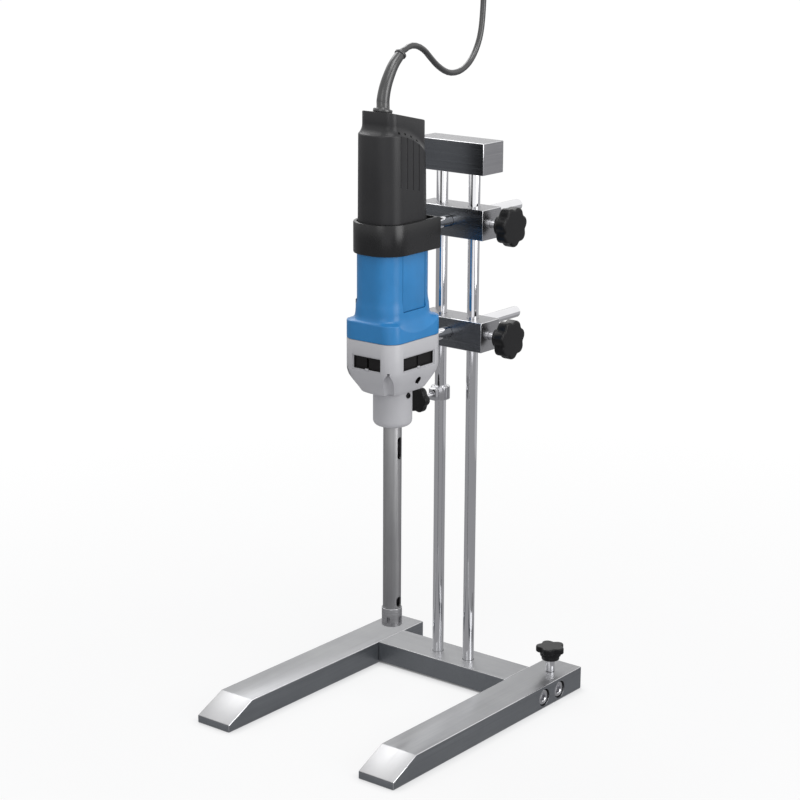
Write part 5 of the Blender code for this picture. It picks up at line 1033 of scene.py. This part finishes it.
def make_grilles():
    """Black trays in the windows: two panels with an upright gap between them inside a rim."""
    names = ("front", "left", "right")
    trays = vent_boxes(-FIT, -0.0040, -0.0012)
    hollows = vent_boxes(-FIT - 0.0006, -0.0024, 0.01)
    for name, outer, hollow in zip(names, trays, hollows):
        grille = piece_of(
            f"{name}_vent_insert", box_shape(*outer, 0.0002), "grille", "head",
            f"vent_grille_{name}",
        )
        middle = (Vector(outer[0]) + Vector(outer[1])) / 2
        gap, past = 0.0011, 0.005
        low, high = Vector((middle.x, middle.y, 0.3722)), Vector((middle.x, middle.y, 0.3819))
        along = Vector((gap, past, 0.0)) if name == "front" else Vector((past, gap, 0.0))
        carve(grille, box_shape(*hollow), box_shape(low - along, high + along), degrees=30)


def make_nose_screws():
    across, along = {-1: "left", 1: "right"}, {-1: "front", 1: "rear"}
    foot = NOTCH_TOP - FIT - 0.0022
    profile = [
        (0.0, 0.408), (0.0012, 0.408), (0.0012, foot + 0.0022), (0.0028, foot + 0.0022),
        (0.0028, foot), (0.0, foot),
    ]
    for (sx, sy), (x, y) in notch_places().items():
        name = f"{across[sx]}_{along[sy]}"
        spot = at(x, y, 0.0)
        cross = [
            placed(box_shape((-a, -b, foot - 0.001), (a, b, foot + 0.0013)), spot)
            for a, b in ((0.0018, 0.0003), (0.0003, 0.0018))
        ]
        piece_of(
            f"{name}_housing_screw", lathed(profile, 0.0004, 2, 24, spot), "knob", "head",
            f"nose_screw_{name}", cuts=cross,
        )


# Blue grip housing

def scoop(x, y):
    """How far the flange's edge dips, from 0 to 1, on the two flat sides."""
    along = min(1.0, abs(y) / 0.031)
    side = max(0.0, min(1.0, (abs(x) / NOSE_HALF - 0.75) / 0.2))
    return side * (1.0 - along * along) ** 0.75


def grip_outline(inset=0.0):
    sizes = GRIP_HALF, GRIP_FRONT, GRIP_REAR, GRIP_CORNER, 0.0197
    return inset_outline(sizes, inset, bend=12, side=28)


def make_grip():
    flange = nose_outline(0.0, side=28)
    grip = grip_outline()
    inner = grip_outline(0.003)
    bottom = NOSE_TOP + FIT
    top = 0.4172

    def stage(share, height, dip):
        flat = level(between(flange, grip, share), 0.0)
        return [
            p + Vector((0, 0, height - 0.010 * dip * scoop(q.x, q.y))) for p, q in zip(flat, flange)
        ]

    sections = [
        level(nose_outline(0.0003, side=28), bottom),
        level(flange, bottom + 0.0003),
        *[stage(*row) for row in (
            (0.0, top - 0.0008, 1.0), (0.015, top - 0.0002, 1.0), (0.05, top + 0.0002, 0.98),
            (0.12, top + 0.0005, 0.92), (0.26, top + 0.0009, 0.80), (0.45, top + 0.0015, 0.62),
            (0.58, top + 0.0020, 0.46), (0.70, top + 0.0028, 0.32), (0.78, top + 0.0042, 0.18),
            (0.83, top + 0.0063, 0.10), (0.86, top + 0.0095, 0.03), (0.88, 0.431, 0.0),
            (0.93, 0.4335, 0.0),
        )],
        level(between(flange, grip, 0.98), 0.437),
        level(grip, 0.441),
        level(grip, HOUSING_SEAM - 0.0006),
        level(grip_outline(0.0003), HOUSING_SEAM - FIT),
        level(inner, HOUSING_SEAM - FIT),
        level(inner, bottom),
    ]
    body = piece_of(
        "blue_grip", loft(sections, closed=True), "blue", "head", "grip_housing",
        degrees=40,
    )
    recess = (0.018, 0.4278, 0.4903)
    tools = [
        panel_shape(sorted((side * (GRIP_HALF - 0.0017), side * (GRIP_HALF + 0.01))), *recess)
        for side, _ in SIDES
    ]
    tools += [upright(0.0015, x, y, bottom - 0.005, 0.4083, 16) for x, y in notch_places().values()]
    carve(body, *tools, switch_opening(), degrees=40)


def panel_shape(xs, half, bottom, top):
    """A flat panel with round corners."""
    corners = [(half, top), (-half, top), (-half, bottom), (half, bottom)]
    outline = [(xs[0], AXIS_Y + p[0], p[1]) for p in eased(corners, 0.0025, 5, closed=True)]
    return extruded(outline, (xs[1] - xs[0], 0.0, 0.0))


def switch_box(near, far, half, below, above, *rounding):
    return box_shape(
        (near, SWITCH_Y - half, SWITCH_Z - below), (far, SWITCH_Y + half, SWITCH_Z + above),
        *rounding,
    )


def switch_opening():
    return switch_box(-GRIP_HALF - 0.01, -GRIP_HALF + 0.0033, 0.0043, 0.0073, 0.0153)


def make_panels():
    for side, name, node in ((1, "right", "right_panel"), (-1, "left", "switch_panel")):
        xs = sorted((side * (GRIP_HALF - 0.0014), side * GRIP_HALF))
        shape = panel_shape(xs, PANEL_HALF, PANEL_BOTTOM, PANEL_TOP)
        rim = [edge for edge in shape.edges if abs(edge.calc_face_angle(0.0)) > 1.2]
        panel = piece_of(
            f"{name}_grip_panel", bevelled(shape, rim, 0.0003), "blue", "head",
            node, degrees=40,
        )
        if side < 0:
            carve(panel, switch_opening(), degrees=40)


def make_switch():
    """A ribbed thumb piece with soft corners on a stem."""
    near = -GRIP_HALF - 0.0024
    shape = switch_box(near - 0.0032, near, 0.0080, 0.007, 0.007, 0.0012, 4)
    switch = piece_of("switch_thumb", shape, "knob", "switch", "switch_slider")
    stem = switch_box(near - 0.0016, -GRIP_HALF + 0.003, 0.004, 0.0066, 0.0066)
    carve(switch, stem, operation="UNION")
    middles = [SWITCH_Z + number * 0.0022 for number in range(-2, 3)]
    carve(switch, *[box_shape(
        (near - 0.0050, SWITCH_Y - 0.010, middle - 0.0004),
        (near - 0.0026, SWITCH_Y + 0.010, middle + 0.0004),
    ) for middle in middles])


# Black ring clamp and upper housing

def make_clamp():
    def outer(inset):
        return rounded_outline(
            0.0308 - inset, 0.0421 - inset, 0.0382 - inset, 0.027 - inset, 0.002 - inset * 0.5,
            bend=16, side=12,
        )

    def inner(growth):
        seat = [size + FIT for size in (GRIP_HALF, GRIP_FRONT, GRIP_REAR, GRIP_CORNER)]
        return inset_outline((*seat, 0.006), -growth, bend=16, side=12)

    low, high = UPPER_BLOCK, UPPER_BLOCK + BLOCK_HEIGHT
    clamp = piece_of("ring_clamp_band", loft([level(wall(back), height) for wall, back, height in (
        (outer, 0.0010, low), (outer, 0.0003, low + 0.0003), (outer, 0.0, low + 0.0011),
        (outer, 0.0, high - 0.0011), (outer, 0.0003, high - 0.0003), (outer, 0.0010, high),
        (inner, 0.0003, high), (inner, 0.0, high - 0.0004), (inner, 0.0, low + 0.0004),
        (inner, 0.0003, low),
    )], closed=True), "clamp", "head", "ring_clamp", 40)
    carve(clamp, rod_shape(
        STUD_BORE, (0, AXIS_Y + GRIP_REAR - 0.005, UPPER_ROD_Z), (0, AXIS_Y + 0.05, UPPER_ROD_Z)
    ), degrees=40)


def shoulder(x, y):
    past = max(0.0, y + 0.026)
    return 0.602 - 9.1 * past * past


def make_rear_housing():
    def outline(half, back, inset=0.0):
        return inset_outline((half, 0.0374, back, 0.0215), inset, bend=14, side=24)

    def cap(inset=0.0):
        return inset_outline((0.0209, 0.0286, 0.0285, 0.0090), inset, bend=14, side=24)

    def above(rise):
        return lambda x, y: shoulder(x, y) + rise

    def below_cap(room):
        return lambda x, y: cap_top(x, y) - room

    foot_size, top_size = (0.0260, 0.0339), (0.0254, 0.0326)
    foot, top, neck = outline(*foot_size), outline(*top_size), cap()
    clamp_top = UPPER_BLOCK + BLOCK_HEIGHT
    sections = [
        level(outline(*top_size, 0.003), 0.570),
        level(outline(*foot_size, 0.003), clamp_top),
        level(outline(*foot_size, 0.003), HOUSING_SEAM),
        level(outline(*foot_size, 0.0003), HOUSING_SEAM),
        level(foot, HOUSING_SEAM + 0.0003),
        level(foot, clamp_top),
        level(between(foot, top, 0.5), 0.560),
        level(top, above(-0.0012)),
        *[level(between(top, neck, share), above(rise)) for share, rise in (
            (0.02, -0.0003), (0.10, 0.0003), (0.27, 0.0009), (0.45, 0.0018), (0.62, 0.0030),
            (0.78, 0.0044), (0.89, 0.0058), (0.96, 0.0072), (0.99, 0.0088),
        )],
        level(neck, lambda x, y: min(shoulder(x, y) + 0.0105, cap_top(x, y) - 0.004)),
        level(neck, below_cap(0.0008)),
        level(cap(0.0002), below_cap(0.0003)),
        level(cap(0.0008), cap_top),
    ]
    shell = piece_of(
        "black_rear_housing", loft(sections), "black", "head", "rear_housing",
        degrees=40,
    )
    tools = []
    for side, _ in SIDES:
        for number in range(4):
            back = number * 0.0092
            y = AXIS_Y - 0.0200 + back
            top_z = shoulder(0, back - 0.0200) - 0.0008
            hole_z = top_z + 0.0034
            tools += [
                rod_shape(
                    0.0011, (side * 0.0258, y, 0.5514 - CAP_SLOPE * back),
                    (side * 0.0255, y, top_z), 16,
                ),
                rod_shape(0.0012, (side * 0.0195, y, hole_z), (side * 0.0295, y, hole_z), 20),
            ]
    carve(shell, *tools)
    web = outline(*foot_size, 0.0018)
    carve(shell, loft([level(web, 0.505), level(web, 0.515)]), operation="UNION")
    carve(
        shell,
        upright(0.0113, 0, AXIS_Y, 0.503, 0.5123),
        upright(0.004, 0, AXIS_Y - 0.022, 0.503, 0.517, 24),
        upright(0.004, 0, AXIS_Y + 0.022, 0.503, 0.517, 24),
        degrees=40,
    )


# Neck and tool

def make_neck():
    radius, bend, bottom, rim = 0.01985, 0.006, 0.306, 0.0097
    top = NOSE_UNDERSIDE - FIT
    profile = [(radius, top)]
    for step in range(11):
        angle = math.pi / 2 * step / 10
        profile.append((
            radius - bend * (1 - math.cos(angle)), bottom + bend * (1 - math.sin(angle)),
        ))
    profile += [(0.0101, bottom), (rim, bottom + 0.0004), (rim, top)]
    bore = rod_shape(0.0031, (0, AXIS_Y, LOCK_SCREW_Z), (0.03, AXIS_Y, LOCK_SCREW_Z), 32)
    piece_of(
        "nose_neck", placed(turned(profile, 96, closed=True), AXIS), "grey", "head",
        "neck", 40, [bore],
    )
    profile = bar_profile(0.0028, 0.0100, 0.02105)
    spot = at(0.0, AXIS_Y, LOCK_SCREW_Z) @ TO_X
    piece_of(
        "tube_lock_screw", lathed(profile, 0.0005, 3, 32, spot), "knob", "head",
        "lock_screw", cuts=[placed(upright(0.0016, 0, 0, 0.0190, 0.022, 6), spot)],
    )


def slot_shape(width, low, length):
    """A slot with round ends, through the tube's right wall."""
    half = width / 2
    outline = []
    for centre, first in ((low + length - half, 0), (low + half, 180)):
        for step in range(13):
            angle = math.radians(first + 15 * step)
            y, z = half * math.cos(angle), centre + half * math.sin(angle)
            outline.append((0.005, AXIS_Y + y, z))
    return extruded(outline, (0.01, 0.0, 0.0))


def make_tool():
    def tool_part(name, profile, easing, rounds, steps, finish, slot, node, *cuts):
        shape = lathed(profile, easing, rounds, steps, AXIS, closed=True)
        piece_of(name, shape, finish, "head", node, cuts=cuts)

    profile = ring_profile(0.0094, 0.0079, 0.1028, 0.3422)
    slots = slot_shape(0.006, 0.2706, 0.0235), slot_shape(0.007, 0.112, 0.011)
    tool_part(
        "stainless_work_tube", profile, 0.0003, 2, 96, "tube", "tool_steel", "work_tube", *slots
    )
    windows = 5
    tool_part("slotted_stator", [
        (0.0105, 0.1105), (0.0105, 0.0914), (0.0086, 0.0914), (0.0086, 0.1025), (0.0097, 0.1025),
        (0.0097, 0.1105),
    ], 0.0004, 3, 120, "stator", "tool_steel", "stator_head", *[placed(
        box_shape((0.0056, -0.0017, 0.0951), (0.0135, 0.0017, 0.1017)),
        AXIS @ Matrix.Rotation(2 * math.pi * number / windows, 4, "Z"),
    ) for number in range(windows)])
    profile = ring_profile(0.0076, 0.0033, 0.1235, 0.1305)
    tool_part(
        "shaft_bush", profile, 0.0004, 2, 48, "white_plastic", "bush_plastic", "tube_bush"
    )


def dress_solids():
    """The pieces whose solids keep their shape and get a finish."""
    finishes = {
        "screw": (
            "upper_set_screw", "lower_set_screw", "lower_bearing", "upper_bearing", "motor_shaft",
            "coupling",
        ),
        "board": ("control_board",),
        "iron": ("field_core", "armature_core"),
        "carbon": ("brush_left", "brush_right"),
        "copper": ("commutator",),
        "white_plastic": ("cooling_fan",),
        "tube": ("rotor_shaft",),
        "stator": ("rotor",),
    }
    for finish, nodes in finishes.items():
        for node in nodes:
            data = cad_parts[node].data
            data.materials.clear()
            data.materials.append(looks[finish])


make_base()
make_leg_screws()
make_columns()
make_blocks()
make_rods()
make_knobs()
make_collar()
make_nose()
make_grilles()
make_nose_screws()
make_grip()
make_panels()
make_switch()
make_clamp()
make_rear_housing()
make_neck()
make_tool()
dress_solids()


# Studio

def soft_light(name, spot, width, height, power):
    """A soft box that looks at the middle of the object."""
    data = bpy.data.lights.new(name, "AREA")
    data.shape = "RECTANGLE"
    data.size = width
    data.size_y = height
    data.energy = power
    lamp = new_object(name, data)
    lamp.location = spot
    aim = Vector((0.0, 0.0, 0.32)) - Vector(spot)
    lamp.rotation_euler = aim.to_track_quat("-Z", "Y").to_euler()
    lamp.visible_camera = False


def plain_tree(name):
    """A material without its first nodes, and the socket of its output."""
    look = bpy.data.materials.new(name)
    look.use_nodes = True
    look.node_tree.nodes.clear()
    end = look.node_tree.nodes.new("ShaderNodeOutputMaterial")
    return look, look.node_tree, end.inputs["Surface"]


def glowing(tree, colour, strength=1.0):
    return made_by(tree, "Emission", "Emission", Color=(*colour, 1.0), Strength=strength)


def calculated(tree, operation, first, second):
    node = tree.nodes.new("ShaderNodeMath")
    node.operation = operation
    tree.links.new(first, node.inputs[0])
    tree.links.new(second, node.inputs[1])
    return node.outputs[0]


def ground_card(name, near, far, half_near, half_far, height, shade, bearing=0.0):
    """A card on the floor, at a bearing from the camera's side, that only reflections see."""
    angle = math.radians(bearing) + math.atan2(CAMERA_PLACE.y, CAMERA_PLACE.x)
    out = Vector((math.cos(angle), math.sin(angle), 0.0))
    along = Vector((-out.y, out.x, 0.0))
    lift = Vector((0.0, 0.0, height))
    shape = bmesh.new()
    shape.faces.new([shape.verts.new(out * reach + along * half + lift) for reach, half in (
        (near, -half_near), (near, half_near), (far, half_far), (far, -half_far),
    )])
    sheet = new_object(name, mesh_of(name, shape))
    look, tree, surface = plain_tree(name)
    tree.links.new(glowing(tree, (shade, shade, shade * 1.03)), surface)
    sheet.data.materials.append(look)
    sheet.visible_camera = sheet.visible_diffuse = False
    sheet.visible_shadow = sheet.visible_transmission = False


def seen_directly(tree):
    """1 for camera, glossy and transmission rays, else 0."""
    path = tree.nodes.new("ShaderNodeLightPath")
    total = path.outputs["Is Camera Ray"]
    for kind in ("Is Glossy Ray", "Is Transmission Ray"):
        total = calculated(tree, "MAXIMUM", total, path.outputs[kind])
    return total


def make_world():
    world = bpy.data.worlds.new("pale_studio")
    world.use_nodes = True
    tree = world.node_tree
    back = tree.nodes["Background"]
    back.inputs["Color"].default_value = (1.0, 1.0, 1.0, 1.0)
    tree.links.new(spread(tree, seen_directly(tree), 0.55, 1.0, 0.0, 1.0), back.inputs["Strength"])
    bpy.context.scene.world = world


def make_floor():
    """A pale matt floor that shows nearly white, whiter with distance, and with a painted contact
    shadow from ambient occlusion at contacts.
    """
    shape = bmesh.new()
    bmesh.ops.create_grid(shape, x_segments=1, y_segments=1, size=30.0)
    floor = new_object("studio_floor", mesh_of("studio_floor", shape))
    floor.location.z = -0.0002
    look, tree, surface = plain_tree("studio_floor")
    matt = made_by(tree, "BsdfDiffuse", "BSDF", Color=(0.62, 0.62, 0.63, 1.0))
    far = tree.nodes.new("ShaderNodeVectorMath")
    far.operation = "LENGTH"
    tree.links.new(made_by(tree, "TexCoord", "Object"), far.inputs[0])
    whiter = spread(tree, far.outputs["Value"], 0.79, 1.0, 0.35, 1.3)
    # Ambient occlusion lowers the white share near the object: a painted contact shadow over the
    # floor's real shading.
    painted_contact_shadow = made_by(tree, "AmbientOcclusion", "AO", Distance=0.012)
    shown = calculated(tree, "MULTIPLY", whiter, painted_contact_shadow)
    share = calculated(tree, "MULTIPLY", seen_directly(tree), shown)
    mix = tree.nodes.new("ShaderNodeMixShader")
    tree.links.new(share, mix.inputs["Fac"])
    tree.links.new(matt, mix.inputs[1])
    tree.links.new(glowing(tree, (1.0, 1.0, 1.0), 1.02), mix.inputs[2])
    tree.links.new(mix.outputs["Shader"], surface)
    floor.data.materials.append(look)


def make_studio():
    make_world()
    make_floor()
    soft_light("overhead_box", (-1.25, 0.70, 1.95), 1.5, 1.5, 22.0)
    soft_light("right_box", (2.3, 0.1, 0.95), 1.3, 1.7, 25.0)
    soft_light("front_box", (0.5, -2.4, 1.3), 1.2, 1.2, 7.0)
    soft_light("top_box", (0.7, -0.5, 2.3), 1.0, 1.0, 15.0)
    ground_card("grey_ground", -14.0, 14.0, 14.0, 14.0, -0.0001, 0.30)
    ground_card("bright_ground", 1.7, 9.0, 0.75, 3.0, 0.0, 0.95)
    ground_card("right_ground", 0.85, 9.0, 0.45, 3.5, 0.0001, 0.46, bearing=104.0)


make_studio()
